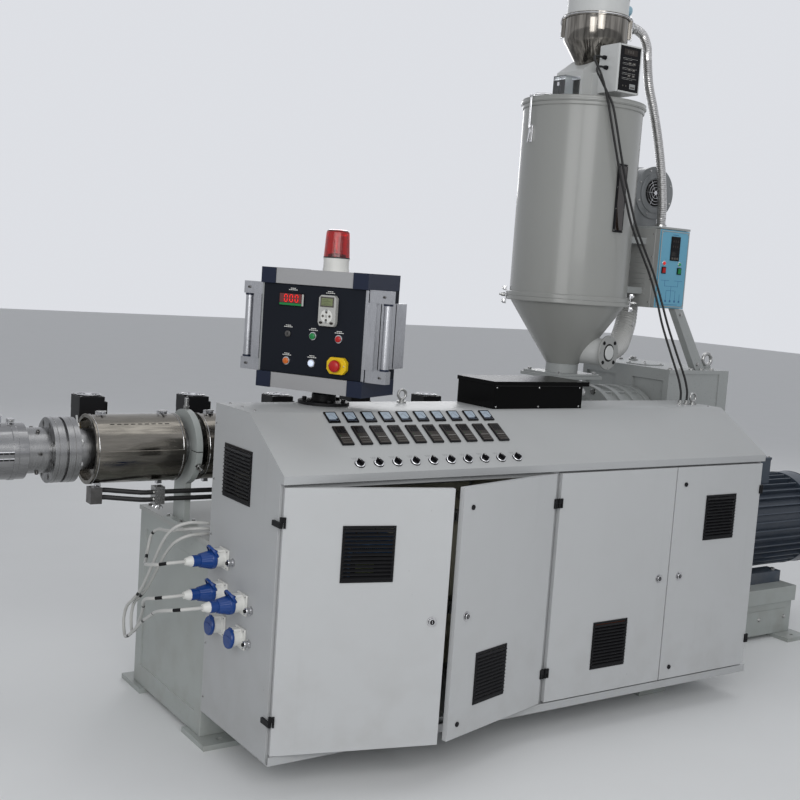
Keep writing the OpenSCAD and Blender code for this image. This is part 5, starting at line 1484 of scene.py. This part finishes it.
    def _covers(self) -> None:
        """Latch levers, rolled rims, seam plugs and slots of the cover shells."""
        pad = Pad("cover_details")
        r, low, high = self.cover_r, AXIS_Z - self.cover_r, AXIS_Z + self.cover_r
        for x, length in self.covers:
            for t in (x + 34, x + length - 68):
                pad.box((t + 4, -9, low - 10), (t + 26, 9, low - 7), "chrome", 1)
                pad.box((t + 3, -15, high + 7.6), (t + 27, 6, high + 11.2), "chrome", 1)
                pad.box((t + 11, -32, high + 1.6), (t + 19, -10, high + 9.6), "chrome", 1)
                pad.at(t - 3, -14, high + 9.6, ALONG_X).disc(3, 0, 36, "zinc", 12)
            # Slots in the cover shells are near-black, painted shade.
            pad.row(lambda p: p.on(turn(38, "X")).box((0, -1.2, 125.3), (16, 1.2, 126.6), "painted_void_shade", 0), 9,
                    (x + 60, 0, AXIS_Z), (26, 0, 0))
            for t in (x + 10, x + length - 10):
                pad.at(t, 0, AXIS_Z, ALONG_X).hoop(r - 1.2, 0.9, "chrome", 72, 6)
            plug = pad.at(x + length / 2, 0, AXIS_Z, turn(-62, "X")).at(0, 0, r - 3)
            plug.disc(12, 0, 14, "zinc", 6, 1)
            plug.disc(8, 14, 26, "black_plastic", 20)
        pad.done()

    @staticmethod
    def _fan(fan: Pad) -> None:
        """A fan box with its wire guard over a bladed rotor, its terminal and its cord's gland."""
        deep, rim = 100, 172
        fan.box((-48, 0, -60), (48, deep, 120), "black_plastic", 3)
        for a, b in border((-48, 0), (48, deep), 8, 5):
            fan.box((*a, 119), (*b, rim), "black_plastic", 1)
        for x, y in product((-1, 1), (-1, 1)):
            fan.box((x * 30, 50 + y * 30, 119), (x * 47, 50 + y * 49, rim - 0.5), "black_plastic", 1)
            fan.at(x * 41, 50 + y * 43, rim).screw(3.5)
        fan.box((-30, -4.6, -40), (30, 1, 60), "black_plastic", 1)
        rotor = fan.at(0, 50, 128)
        rotor.lathe([(16, -8), (16, 34), (14, 38), (0, 39)], "black_gloss", 32)
        rotor.round(lambda p: p.at(14, 0, 14, turn(34, "X")).box((0, -12, -1), (26, 12, 1), "black_plastic", 0.6), 7)
        guard = fan.at(0, 50, rim + 4.5)
        for r, wire in ((44.5, 1.6), (34, 1.1), (24, 1.1)):
            guard.hoop(r, wire, "chrome", 48, 8)
        guard.disc(13, -1, 1.4, "chrome", 28)
        guard.round(lambda p: p.sweep([(12, 0, -0.8), (30, 0, -1), (45, 0, -1)], 1.1, "chrome", 6), 4, 45)
        fan.box((48, 22, 60), (68, 78, 150), "black_plastic", 2.5)
        fan.box((66, 28, 68), (69, 72, 142), "grey_plastic", 1)
        fan.at(58, 50, 52).disc(7, 0, 9, "zinc", 6, 0.6)
        fan.row(lambda p: p.box((-40, -0.8, 0), (40, 0.6, 2), "black_gloss", 0), 8, (0, deep, -40), (0, 0, 17))


@dataclass
class Dryer:
    """Hopper dryer: feed section, neck, cone, insulated drum, lid, latches and sight window."""

    x: float = 1900
    r: float = 270
    drum_low: float = 1685
    drum_high: float = 2545
    lid_h: float = 22
    latches: tuple[float, ...] = (174, 354)
    clamps: tuple[float, ...] = (140, -40)
    window: float = -87
    handle: tuple[Point, ...] = (
        (-190, 128, -2), (-190, 128, 20), (-182, 120, 34), (-140, 80, 36), (-132, 72, 22), (-132, 72, -2))

    def build(self, frame: dict) -> None:
        """Dresses the dryer's nodes and adds its details."""
        dress(frame, "feed_block", "gear_enamel", bevel=3)
        dress(frame, "dryer_neck", "gear_enamel",
              ("zinc", lambda c, n: 1345.5 < c.z < 1356 and abs(c.x - self.x) > 90))
        dress(frame, "dryer_cone dryer_drum dryer_lid", "dryer_enamel",
              ("dryer_enamel", lambda c, n: math.hypot(c.x - self.x, c.y) > self.r + 3), bevel=1.5)
        pad = Pad("dryer_fittings_detailed")
        own = pad.at(self.x, 0, 0)
        for angle in self.latches:
            self._latch(own.on(turn(angle, "Z")).at(self.r, 0, self.drum_high))
        for angle in self.clamps:
            self._clamp(own.on(turn(angle, "Z")).at(self.r + 12, 0, self.drum_low))
        self._window(own.on(turn(self.window, "Z")).at(self.r, 0, self.drum_low + 308))
        pad.done(replaces=["dryer_fittings"])
        pad = Pad("dryer_details")
        self._sheet(pad.at(self.x, 0, 0))
        pad.done()

    def _latch(self, pad: Pad) -> None:
        """Chrome toggle latch from the drum's wall over the lid's rim."""
        lid = self.lid_h
        pad.box((0.4, -9, -175), (4, 9, -100), "chrome", 1)
        for y in (-7, 4.5):
            pad.box((3, y, -168), (14, y + 2.5, -104), "chrome", 0.8)
        pad.at(10, 0, -112, TO_FRONT).disc(2.6, -9, 9, "zinc", 14)
        lever = [(10, 0, -112), (15, 0, -140), (19, 0, -172), (22, 0, -178)]
        pad.sweep(route_points(lever, 4), 3.4, "chrome", 10)
        for y in (-4, 4):
            pad.sweep([(16.4, y, z) for z in (-114, -20, lid + 5)], 1.9, "chrome", 8)
        pad.box((3, -10, lid + 0.2), (22, 10, lid + 3), "chrome", 1)
        pad.at(17, 0, lid + 6, TO_FRONT).disc(4, -8, 8, "chrome", 16)
        for z in (-165, -109):
            pad.at(3.8, 0, z, ALONG_X).screw(2.6)

    @staticmethod
    def _clamp(pad: Pad) -> None:
        """Screw clamp over the flanges of cone and drum."""
        pad.box((0.4, -17, -42), (6, 17, 42), "chrome", 2)
        for s, _ in SIDES:
            pad.box((0.4, -15, s * 20), (17, 15, s * 41), "chrome", 3)
            pad.at(16, 0, s * 30, ALONG_X).lathe([(7, 0), (7, 5), (5.6, 6)], "zinc", 6)
        screw = pad.at(5, 0, 0, ALONG_X)
        screw.disc(9, 0, 20, "zinc", 24)
        screw.disc(5, 20, 29, "zinc", 18)

    @staticmethod
    def _window(pad: Pad) -> None:
        """Tall sight window: frame, dark pane and screws."""
        pad.box((0.4, -30, 0), (8, 30, 298), "black_plastic", 3)
        pad.box((7.4, -22, 9), (9.6, 22, 289), "sight_brown", 1.2)
        for y, z in product((-26, 26), (8, 102, 196, 290)):
            pad.at(7.8, y, z, ALONG_X).screw(2.4)

    def _sheet(self, pad: Pad) -> None:
        """Rolled beads, wall seam with its rivets, and lid handle."""
        r, low, high, lid = self.r, self.drum_low, self.drum_high, self.drum_high + self.lid_h
        for z, out, tube in ((low + 18, 2, 3.2), (high - 14, 2, 3.2), (low - 18, 9, 2.4), (lid, 9, 2.4)):
            pad.at(0, 0, z).hoop(r + out, tube, "dryer_enamel", 96, 8)
        seam = pad.on(turn(96, "Z"))
        seam.box((r - 1.5, -9, low + 22), (r + 1.6, 9, high - 20), "dryer_enamel", 1)
        seam.row(lambda p: p.at(r + 1.4, 0, 0, ALONG_X).disc(3, 0, 1.4, "dryer_enamel", 12, 0.7), 16,
                 (0, 0, low + 45), (0, 0, 51))
        top = pad.at(0, 0, lid)
        top.sweep(route_points(self.handle, 5), 5, "chrome")
        for x, y, _ in (self.handle[0], self.handle[-1]):
            top.at(x, y, 0).disc(11, -0.5, 2.5, "chrome", 24)


@dataclass
class HotAir:
    """Hot air unit: heater box with its panel, blower, and wrapped duct to the cone."""

    box_x: float = 2224
    box_w: float = 201
    low: float = 1670
    high: float = 2035
    front: float = -236
    blower_x: float = 2386
    blower_z: float = 2215
    hose_r: float = 50
    hose: tuple[Point, ...] = (
        (2303, 12, 2035), (2303, 12, 1960), (2303, 12, 1700), (2302, 11, 1650), (2285, -2, 1590), (2240, -30, 1530),
        (2180, -70, 1484), (2110, -105, 1462), (2050, -130, 1456))
    inlet: tuple[float, float, float] = (1998, -200, 1453)
    inlet_turn: float = 13
    plan_lines: tuple[tuple[float, ...], ...] = (
        (30, 130, 82, 130), (118, 130, 170, 130), (56, 130, 56, 104), (144, 130, 144, 104), (56, 104, 144, 104),
        (100, 104, 100, 40), (70, 84, 70, 40), (130, 84, 130, 40), (70, 84, 130, 84), (40, 70, 40, 40),
        (160, 70, 160, 40))

    def build(self, frame: dict) -> None:
        """Dresses the unit's nodes and adds its details."""
        dress(frame, "hot_air_unit", "heater_enamel",
              ("panel_blue", lambda c, n: c.y < -231.5 and c.z > self.low),
              ("gear_enamel", lambda c, n: c.z < self.low - 1 or c.x < self.box_x - 1), bevel=1.5)
        pad = Pad("heater_panel")
        self._panel(pad.at(self.box_x, self.front, self.low, TO_FRONT))
        self._box(pad)
        pad.done()
        pad = Pad("blower")
        self._scroll(pad.at(self.blower_x, 0, self.blower_z, TO_FRONT), pad)
        pad.done(replaces=["hot_air_blower"])
        self._duct()

    def _panel(self, pad: Pad) -> None:
        """Panel face, X across, Y up: unlit controller, lamps, rocker switches and a plan of fine lines."""
        pad.box((74, 222, -0.5), (134, 334, 3), "black_plastic", 2)
        pad.box((79, 270, 2.6), (129, 328, 4), "black_gloss", 1)
        for k in range(3):
            pad.box((82 + k * 16, 228, 2.6), (94 + k * 16, 238, 4.4), "key_light", 1)
            for y in (283, 307):
                pad.box((85 + k * 14, y, 3.8), (91 + k * 14, y + 10, 4.2), "key_brown", 0)
        for k in range(4):
            pad.box((82, 246 + k * 5, 2.9), (110 - 6 * (k % 2), 247 + k * 5, 3.2), "key_light", 0)
        for x, lamp, rocker in ((40, "lamp_red", "button_red"), (142, "lamp_green", "button_green")):
            light = pad.at(x, 208, 0)
            light.ring(8, 11.2, -0.4, 2.2, "chrome")
            light.lathe([(8, -0.5), (8, 4), (6, 6.4), (0, 7.4)], lamp, 28)
            pad.box((x - 14, 160, -0.5), (x + 14, 192, 4), "black_plastic", 2)
            pad.at(x, 176, 4, turn(7, "X")).box((-9.5, -12, -3), (9.5, 12, 3), rocker, 1.6)
        for x0, y0, x1, y1 in self.plan_lines:
            pad.box((x0 - 0.7, y0 - 0.7, -0.4), (x1 + 0.7, y1 + 0.7, 0.4), "unit_blue", 0)
        for x in range(40, 161, 30):
            pad.box((x - 5, 30, -0.4), (x + 5, 40, 0.5), "unit_blue", 0.3)
        pad.box((50, 18, -0.4), (150, 20, 0.4), "unit_blue", 0)
        pad.box((84, 340, -0.4), (120, 343, 0.4), "unit_blue", 0)
        for a, b in border((10, 8), (191, 357), 3):
            pad.box((*a, -1), (*b, 1.2), "keypad_grey", 0.5)
        for x, y in product((18, 183), (17, 348)):
            pad.at(x, y, 0.2).screw(3)

    def _box(self, pad: Pad) -> None:
        """Louvres and screws on the box's sides, and the bolts of its supports."""
        low, slat = self.low, ((-1.5, -56, -4), (1.5, 24, 5), "heater_enamel", 1)
        for x, s, out in ((self.box_x, -1, BACK_X), (self.box_x + self.box_w, 1, ALONG_X)):
            pad.row(lambda p: p.on(turn(24 * s, "Y")).box(*slat), 9, (x, -110, low + 60), (0, 0, 24))
            pad.row(lambda p: p.on(out).screw(4), 4, (x, -196, low + 24), (0, 0, 105))
        for z in (low + 20, self.high - 20):
            pad.at(self.box_x + 20, -45, z, TO_BACK).screw(4)
        for z in (low - 26, 1410):
            pad.at(self.box_x + 172 + (low - z) * 182 / 286, -230, z, TO_FRONT).hex_bolt(9)

    def _scroll(self, own: Pad, pad: Pad) -> None:
        """Blower scroll with rolled rims, inlet guard, outlet duct, motor with fins and base plate."""
        x, z, high = self.blower_x, self.blower_z, self.high
        pad.box((self.box_x + 2, -232, high), (self.box_x + self.box_w, 68, high + 10), "gear_enamel", 1.5)
        rims = [(120, -85), (125, -82), (125, -79), (121, -77), (121, 12), (125, 14), (125, 17), (120, 20), (60, 20)]
        own.lathe(rims, "blower_enamel", 72)
        own.lathe([(96, 19), (96, 24), (92, 26), (70, 26), (66, 21), (0, 21)], "blower_enamel", 56)
        # The inlet opening behind the guard is a near-black disc, painted shade.
        own.disc(64, 19.5, 21.8, "painted_void_shade", 48, 0.2)
        for r in (26, 40, 54):
            own.at(0, 0, 24.2).hoop(r, 1.3, "chrome", 40, 6)
        own.round(lambda p: p.sweep([(8, 0, 24), (66, 0, 24)], 1.2, "chrome", 6), 6)
        own.disc(10, 22.6, 25.8, "chrome", 24)
        own.round(lambda p: p.at(110, 0, 19.6).hex_bolt(6, washer=False), 8, 22)
        motor = [(66, -85), (66, -90), (58, -92), (58, -205), (66, -208), (66, -233), (62, -235)]
        own.lathe(motor, "motor_enamel", 48)
        own.round(lambda p: p.box((56, -1.2, -204), (65, 1.2, -93), "motor_enamel", 0.5), 30)
        # A near-black ring on the motor's end, painted shade in its opening.
        own.ring(10, 50, -235.4, -233, "painted_void_shade")
        pad.box((x - 40, 110, z + 55), (x + 30, 190, z + 100), "motor_enamel", 3)
        pad.box((x - 115, -12, high + 10), (x + 36, 78, 2200), "blower_enamel", 2.5)
        pad.box((x - 122, -18, high + 9), (x + 43, 67, high + 18), "blower_enamel", 1.5)
        for dx in (-110, -35, 36):
            pad.at(x + dx, -14, high + 18).hex_bolt(5)
        port = pad.at(2378, -84, high + 10)
        port.lathe([(27, 0), (27, 17), (25, 20)], "zinc", 32)
        port.ring(24, 27.6, 8, 13, "chrome")

    def _duct(self) -> None:
        """Wrapped duct with its wound ridges, and the round inlet on the cone."""
        pad = Pad("wrapped_duct")
        points = route_points(self.hose, 16)
        wound = (3.2, 1.0, 0.0, 1.0)
        pad.sweep(points, lambda i: self.hose_r - wound[i % 4], "wrap_tape", 28)
        for point, turned in ((points[30], STILL), (points[70], turn(-60, "Y"))):
            pad.at(*point, turned).ring(self.hose_r - 2, self.hose_r + 0.4, -6, 6, "zinc")
        inlet = pad.at(*self.inlet, turn(self.inlet_turn, "Z") @ TO_FRONT)
        inlet.lathe([(62, -150), (62, -8)], "loader_white", 48)
        inlet.lathe([(79, -9), (79, -2), (77, 0), (36, 0.4), (36, -1)], "heater_enamel", 56)
        # A near-black ring, painted shade in the gap round the inlet's cap.
        inlet.ring(33, 41, 0, 1.4, "painted_void_shade")
        inlet.lathe([(33, 0), (33, 4), (31, 6), (0, 6)], "loader_white")
        knob = [(9, 0), (9, 3), (5, 4), (5, 6)]
        inlet.round(lambda p: p.at(62, 0, 0).lathe(knob, "black_plastic", 8), 4, 45)
        inlet.round(lambda p: p.at(71, 0, 0).screw(3), 8)
        pad.done(replaces=["hot_air_hose"])


@dataclass
class Loader:
    """Vacuum loader on the dryer's lid, with its control box."""

    x: float = 1940
    z: float = 2567
    front: float = -63
    box_x: float = 1853
    box_y: float = -130
    box_z: float = 2599

    def build(self, frame: dict) -> None:
        """Dresses the loader and adds its details."""
        x, z = self.x, self.z
        dress(frame, "vacuum_loader", "loader_white",
              ("clear_cover", lambda c, n: c.x < x - 118.5 and c.z < z + 106),
              # The hopper's bowl and wall take the polished steel with painted reflection streaks.
              ("polished_steel_painted_reflections", self._on_hopper),
              ("pipe_blue", lambda c, n: c.x > x + 138 and c.z > z + 420),
              ("zinc", lambda c, n: c.x > x + 151),
              ("chrome", lambda c, n: c.z > z + 295 and math.hypot(c.x - x, c.y) > 138.5), bevel=1.5)
        pad = Pad("loader_details")
        own = pad.at(x, 0, z)
        self._hopper(own)
        self._head(own)
        self._stand(own)
        pad.done()
        pad = Pad("loader_control_box")
        self._controls(pad)
        pad.done(replaces=["loader_controls"])

    def _on_hopper(self, c: Vector, n: Vector) -> bool:
        """Tells the hopper's bowl and wall from what stands round it."""
        r, z = math.hypot(c.x - self.x, c.y), c.z - self.z
        return 142.5 < z < 391.5 and (-0.7 < n.z < -0.4 or z > 284 or r > 140) and r < 151

    @staticmethod
    def _hopper(pad: Pad) -> None:
        """Rim band, clips, and the collars of both ports."""
        rim = pad.at(0, 0, 385)
        rim.hoop(149, 3, "chrome", 80, 8)
        rim.hoop(145.5, 2, "black_rubber", 80, 6)
        for angle in (-43, 137):
            clip = pad.on(turn(angle, "Z"))
            clip.box((152, -9, 296), (160, 9, 350), "chrome", 2)
            wire = [(158, 0, 352), (162, 0, 366), (158, 0, 386), (148, 0, 398)]
            clip.sweep(route_points(wire, 4), 2.6, "chrome", 8)
            clip.box((138, -11, 396), (152, 11, 402), "chrome", 1)
            for z in (304, 318):
                clip.at(159.6, 0, z, ALONG_X).screw(2.6)
        pad.at(178, -50, 368, ALONG_X).ring(22, 27, -14, -4, "zinc")
        port = pad.at(190, 0, 455, ALONG_X)
        port.ring(17, 23.5, -8, 2, "pipe_blue")
        # The port's bore is a near-black disc, painted shade.
        port.disc(17.4, -1, 0.2, "painted_void_shade", 32, 0.1)

    @staticmethod
    def _head(pad: Pad) -> None:
        """Cooling slots, cap seam and top plug of the motor head."""
        for first in (-150, 30):
            # The cooling slots are near-black, painted shade.
            pad.row(lambda p: p.at(137.2, 0, 0).box((0, -2.2, 0), (1.4, 2.2, 52), "painted_void_shade", 0), 9, (0, 0, 505),
                    turned=6, first=first)
        pad.at(0, 0, 470).hoop(138, 1.6, "keypad_grey", 80, 6)
        pad.at(0, 0, 582).hoop(137.4, 2.2, "loader_white", 80, 8)
        pad.at(0, 0, 615).disc(20, -2, 3, "black_plastic", 32)

    def _stand(self, pad: Pad) -> None:
        """Bolts and joints of the base, and the hinge of the clear cover."""
        for x, (y, out) in product((-98, 102), ((self.front + 4, TO_FRONT), (106, TO_BACK))):
            pad.at(x, y, 6, out).hex_bolt(5)
        pad.box((-122, -56, 96), (-116, 36, 110), "chrome", 1.5)
        pad.box((-206, -12, 60), (-203.5, 2, 78), "chrome", 1)
        pad.box((-117, self.front - 1.2, 12), (118, self.front + 1, 15), "keypad_grey", 0)
        sight = pad.at(40, self.front, 110, TO_FRONT)
        sight.ring(24, 32, -1, 3, "chrome")
        sight.disc(24.5, -1, 1.6, "sight_brown", 36, 0.4)

    def _controls(self, pad: Pad) -> None:
        """White box with a black face, its marks, keys and two cable glands."""
        x, y, z = self.box_x, self.box_y, self.box_z
        pad.box((x, y - 120, z), (x + 140, y, z + 207), "loader_white", 4)
        pad.box((x + 10, y - 122.6, z + 8), (x + 130, y - 119, z + 199), "black_gloss", 1.5)
        face = pad.at(x + 70, y - 122.6, z + 103, TO_FRONT)
        face.box((-40, 58, -0.5), (40, 84, 1), "key_brown", 0.5)
        for left in (-20, -6, 8):
            face.box((left, 66, 0.8), (left + 8, 78, 1.2), "key_light", 0)
        for k in range(5):
            top = 44 - k * 21
            face.box((-44, top, -0.3), (44 - 9 * (k % 2), top + 1, 0.3), "keypad_grey", 0)
            face.box((-44, top - 6, -0.3), (10 + 11 * (k % 3), top - 5.2, 0.3), "keypad_grey", 0)

        def key(one: Pad) -> None:
            """A key with its pale bar."""
            one.box((-8, -6, -0.3), (8, 6, 1), "key_light", 0.5)
            one.box((-4, -0.6, 0.8), (4, 0.6, 1.2), "white_plastic", 0)

        for height in (24, -2, -28):
            face.row(key, 2, (-2, height, 0), (26, 0, 0))
        face.box((6, -84, -0.3), (40, -62, 0.8), "grey_plastic", 0.4)
        face.box((10, -80, 0.6), (36, -74, 1.1), "key_light", 0)
        for left in (-34, -16):
            face.at(left, -74, 0).disc(3.6, 0, 1.6, "key_light", 16, 0.5)
        for dx, dz in product((9, 131), (5, 202)):
            pad.at(x + dx, y - 119.6, z + dz, TO_FRONT).screw(2.6)
        for gland_y, gland_z in ((-170, 2750), (-184, 2705)):
            gland = pad.at(x, gland_y, gland_z, BACK_X)
            gland.lathe([(10, 0), (10, 5)], "black_plastic", 6)
            gland.lathe([(9, 5), (9, 13), (7, 18), (5.2, 19.8)], "black_plastic", 20)


@dataclass
class Drive:
    """Thrust housing, gearbox, belt guard and motor."""

    thrust_x: float = 2060
    thrust_r: float = 245
    box_x: float = 2345
    box_end: float = 2690
    front: float = -255
    back: float = 330
    top: float = 1384
    low: float = 267
    motor_x: float = 3010
    motor_z: float = 552
    motor_r: float = 250
    motor_length: float = 520

    def build(self, frame: dict) -> None:
        """Dresses the drive's nodes and adds its details."""
        dress(frame, "thrust_housing", "gear_enamel", bevel=3)
        dress(frame, "gearbox", "gear_enamel", ("zinc", self._on_seam_bolt),
              ("zinc", lambda c, n: c.z > self.top + 14.5), bevel=3)
        dress(frame, "drive_motor", "motor_enamel", ("gear_enamel", lambda c, n: c.x < self.motor_x), bevel=2)
        pad = Pad("drive_details")
        self._thrust(pad)
        self._gearbox(pad)
        self._motor(pad)
        pad.done()

    def _on_seam_bolt(self, c: Vector, n: Vector) -> bool:
        """Tells the bolts on the gearbox's seam from its case."""
        return not self.front - 3 <= c.y <= self.back + 3 and AXIS_Z + 20.5 < c.z < AXIS_Z + 33

    def _thrust(self, pad: Pad) -> None:
        """Bolts of the thrust housing's flange, the webs between its ribs and its plug."""
        x, r = self.thrust_x, self.thrust_r
        pad.at(x, 0, AXIS_Z, BACK_X).round(lambda p: p.at(r - 20, 0, 0).hex_bolt(14), 12, 15)
        web = ((r - 15, -5, 30), (r - 4, 5, 254), "gear_enamel", 2)
        pad.at(x, 0, AXIS_Z, ALONG_X).round(lambda p: p.box(*web), 8, 22.5)
        pad.at(2200, 16 - r, AXIS_Z, TO_FRONT).disc(16, 0, 6, "brass", 6, 1)

    def _gearbox(self, pad: Pad) -> None:
        """Lid and foot bolts, bearing covers, oil glasses, drains, filler and inspection cover."""
        x, top = self.box_x, self.top
        for y in (self.front + 20, self.back - 20):
            pad.row(lambda p: p.hex_bolt(11), 5, (x + 26, y, top), (72, 0, 0))
        for y in (self.front - 16, self.back + 16):
            pad.row(lambda p: p.hex_bolt(16), 4, (x + 40, y, self.low + 25), (110, 0, 0))
        for y, out in ((self.front, TO_FRONT), (self.back, TO_BACK)):
            cover = pad.at(x + 170, y, AXIS_Z - 160, out)
            cover.lathe([(120, 0), (120, 9), (114, 14), (92, 14), (90, 10), (0, 10)], "gear_enamel", 64)
            cover.round(lambda p: p.at(106, 0, 14).hex_bolt(9), 8, 22)
            glass = pad.at(x + 70, y, 560, out)
            glass.lathe([(26, 0), (26, 8), (22, 11), (17, 11)], "brass", 32)
            glass.disc(17, 9, 10.5, "sight_brown", 28, 0.3)
            drain = pad.at(x + 170, y, 330, out)
            drain.disc(18, 0, 8, "zinc", 32)
            drain.disc(12, 8, 16, "zinc", 6)
        filler = pad.at(x + 290, 270, top)
        filler.disc(24, 0, 6, "gear_enamel", 40, 2)
        filler.disc(16, 6, 20, "zinc", 6, 2)
        pad.box((x + 60, -40, top - 0.5), (x + 190, 90, top + 5), "gear_enamel", 2)
        for dx, y in product((72, 178), (-28, 78)):
            pad.at(x + dx, y, top + 5).hex_bolt(6)
        rear = pad.at(self.box_end + 102, 0, AXIS_Z, ALONG_X)
        rear.round(lambda p: p.at(100, 0, 0).hex_bolt(10), 8)
        rear.disc(62, 0, 12, "gear_enamel", 48, 3)

    def _motor(self, pad: Pad) -> None:
        """Fan cowl grille, body rims, terminal box with its glands, feet bolts and guard rims."""
        x, z, lid = self.motor_x, self.motor_z, self.motor_z + self.motor_r + 110
        end = x + self.motor_length + 150
        cowl = pad.at(end, 0, z, ALONG_X)
        for k in range(9):
            cowl.hoop(60 + k * 20, 1.8, "motor_enamel", 72, 6)
        cowl.disc(52, -1, 3, "motor_enamel", 40)
        cowl.round(lambda p: p.box((48, -4, -0.5), (228, 4, 2.4), "motor_enamel", 0.8), 8)
        # Between the grille rings a near-black ring stands for the shade inside the cowl, painted shade.
        cowl.ring(56, 222, -0.2, 0.5, "painted_void_shade", 64)
        for t, inward in ((x + 15, 21), (end - 118, 0.4), (end - 4, 0.4)):
            pad.at(t, 0, z, ALONG_X).hoop(self.motor_r - inward, 2.4, "motor_enamel", 96, 6)
        pad.box((x + 86, -114, lid - 14), (x + 334, 114, lid), "motor_enamel", 3)
        for dx, y in product((98, 322), (-102, 102)):
            pad.at(x + dx, y, lid).hex_bolt(6)
        for y in (-70, 0, 70):
            gland = pad.at(x + 90, y, lid - 80, BACK_X)
            gland.lathe([(24, 0), (24, 8)], "zinc", 6)
            gland.disc(19, 8, 16, "black_plastic", 28)
        for y, dx in product((-205, 205), (70, 310)):
            pad.at(x + dx, y, self.low + 60).hex_bolt(13)
        guard = pad.at(self.box_end + 102, 0, z, ALONG_X)
        guard.round(lambda p: p.at(151, 0, 30, ALONG_X).screw(5), 10)
        for dz in (4, 100, 210):
            guard.at(0, 0, dz).hoop(150, 2.2, "gear_enamel", 72, 6)


@dataclass(frozen=True)
class Cord:
    """One cord: its CAD node, radius, finish and route, and which stretches of it are taped."""

    node: str
    radius: float
    finish: str
    route: tuple[Point, ...]
    tape: tuple[tuple[float, float], ...] = ()
    stiffness: str = "medium"
    ridge: float = 0.0
    step: float = 9.0

    def build(self, frame: dict) -> None:
        points = evenly(route_points(self.route, 24), self.step)
        gap = (points[1] - points[0]).length
        pad = Pad(self.node + "_cord")
        pad.sweep(points, lambda i: self.radius - self.ridge * (i % 2), self.finish, 14,
                  lambda i: any(low <= i * gap <= high for low, high in self.tape), "black_plastic")
        piece = pad.done(frame["nodes"][self.node]["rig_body"], [self.node])


CORDS = (
    Cord("lead_1", 6, "cord_white", (
        (-150, -461, 720), (-170, -461, 720), (-206, -452, 717), (-234, -418, 706), (-238, -360, 692),
        (-218, -280, 672), (-182, -190, 650), (-146, -100, 630), (-118, -36, 622), (-94, 8, 648), (-84, 6, 702),
        (-82, -50, 736), (-82, -130, 750), (-80, -200, 766), (-66, -250, 780), (-30, -283, 788), (6, -290, 786),
        (32, -290, 785), (62, -290, 785)), tape=((60, 84), (240, 262), (520, 544), (640, 664))),
    Cord("lead_2", 6, "cord_white", (
        (-150, -461, 602), (-170, -461, 602), (-206, -452, 599), (-236, -416, 588), (-240, -356, 570),
        (-216, -270, 532), (-174, -170, 478), (-138, -50, 392), (-116, 50, 322), (-100, 120, 302), (-88, 160, 346),
        (-86, 140, 402), (-86, 80, 446), (-90, 0, 506), (-98, -100, 600), (-104, -190, 684), (-96, -254, 738),
        (-60, -278, 762), (-10, -276, 765), (32, -276, 764), (62, -276, 764)), tape=((70, 96), (330, 352), (620, 644), (930, 956))),
    Cord("lead_3", 6, "cord_white", (
        (-150, -617, 602), (-170, -617, 602), (-206, -608, 600), (-238, -572, 590), (-248, -510, 572),
        (-232, -420, 540), (-200, -300, 490), (-172, -160, 424), (-150, -30, 350), (-132, 80, 292), (-116, 150, 276),
        (-106, 192, 322), (-104, 172, 380), (-106, 110, 424), (-112, 20, 486), (-122, -80, 580), (-132, -180, 686),
        (-130, -240, 754), (-114, -284, 798), (-72, -303, 816), (-24, -304, 813), (14, -302, 809), (38, -302, 808),
        (62, -302, 808)), tape=((64, 90), (300, 322), (520, 544), (800, 824), (1180, 1206))),
    Cord("loader_cable_1", 5, "black_rubber", (
        (1833, -170, 2750), (1815, -170, 2750), (1780, -181, 2744), (1753, -214, 2718), (1752, -250, 2670),
        (1769, -267, 2610), (1789, -274, 2550), (1816, -284, 2447), (1845, -292, 2344), (1877, -299, 2240),
        (1912, -310, 2135), (1949, -322, 2029), (2004, -334, 1924), (2060, -350, 1817), (2096, -372, 1709),
        (2120, -396, 1600), (2152, -430, 1480), (2184, -461, 1370), (2195, -473, 1312), (2196, -475, 1288),
        (2196, -475, 1270))),
    Cord("loader_cable_2", 5, "black_rubber", (
        (1833, -184, 2705), (1818, -184, 2705), (1797, -188, 2701), (1782, -197, 2688), (1776, -210, 2671),
        (1777, -228, 2647), (1784, -252, 2608), (1797, -272, 2568), (1812, -285, 2528), (1833, -296, 2447),
        (1861, -303, 2345), (1894, -309, 2241), (1928, -320, 2136), (1966, -332, 2029), (2022, -344, 1924),
        (2078, -360, 1817), (2118, -382, 1700), (2150, -406, 1590), (2188, -438, 1470), (2222, -464, 1370),
        (2235, -474, 1312), (2236, -475, 1288), (2236, -475, 1270))),
    Cord("return_air_hose", 22, "duct_foil", (
        (2118, -50, 2935), (2128, -50, 2935), (2140, -50, 2935), (2184, -52, 2914), (2210, -56, 2868),
        (2216, -60, 2808), (2238, -62, 2699), (2280, -64, 2591), (2324, -68, 2458), (2356, -74, 2321),
        (2374, -82, 2182), (2378, -84, 2110), (2378, -84, 2088), (2378, -84, 2065)), ridge=1.5, step=4.5, stiffness="stiff"),
)


def main() -> None:
    """Builds every piece in order and reports it."""
    logging.basicConfig(level=logging.INFO, format="%(message)s")
    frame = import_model()
    Stage().build()
    for part in (*CORDS, Bed(), Cabinet(), Doors(), Instruments(), Console(), Sockets(), BarrelGroup(), Dryer(),
                 HotAir(), Loader(), Drive()):
        LOG.info("building %s", type(part).__name__)
        part.build(frame)


if __name__ == "__main__":
    main()
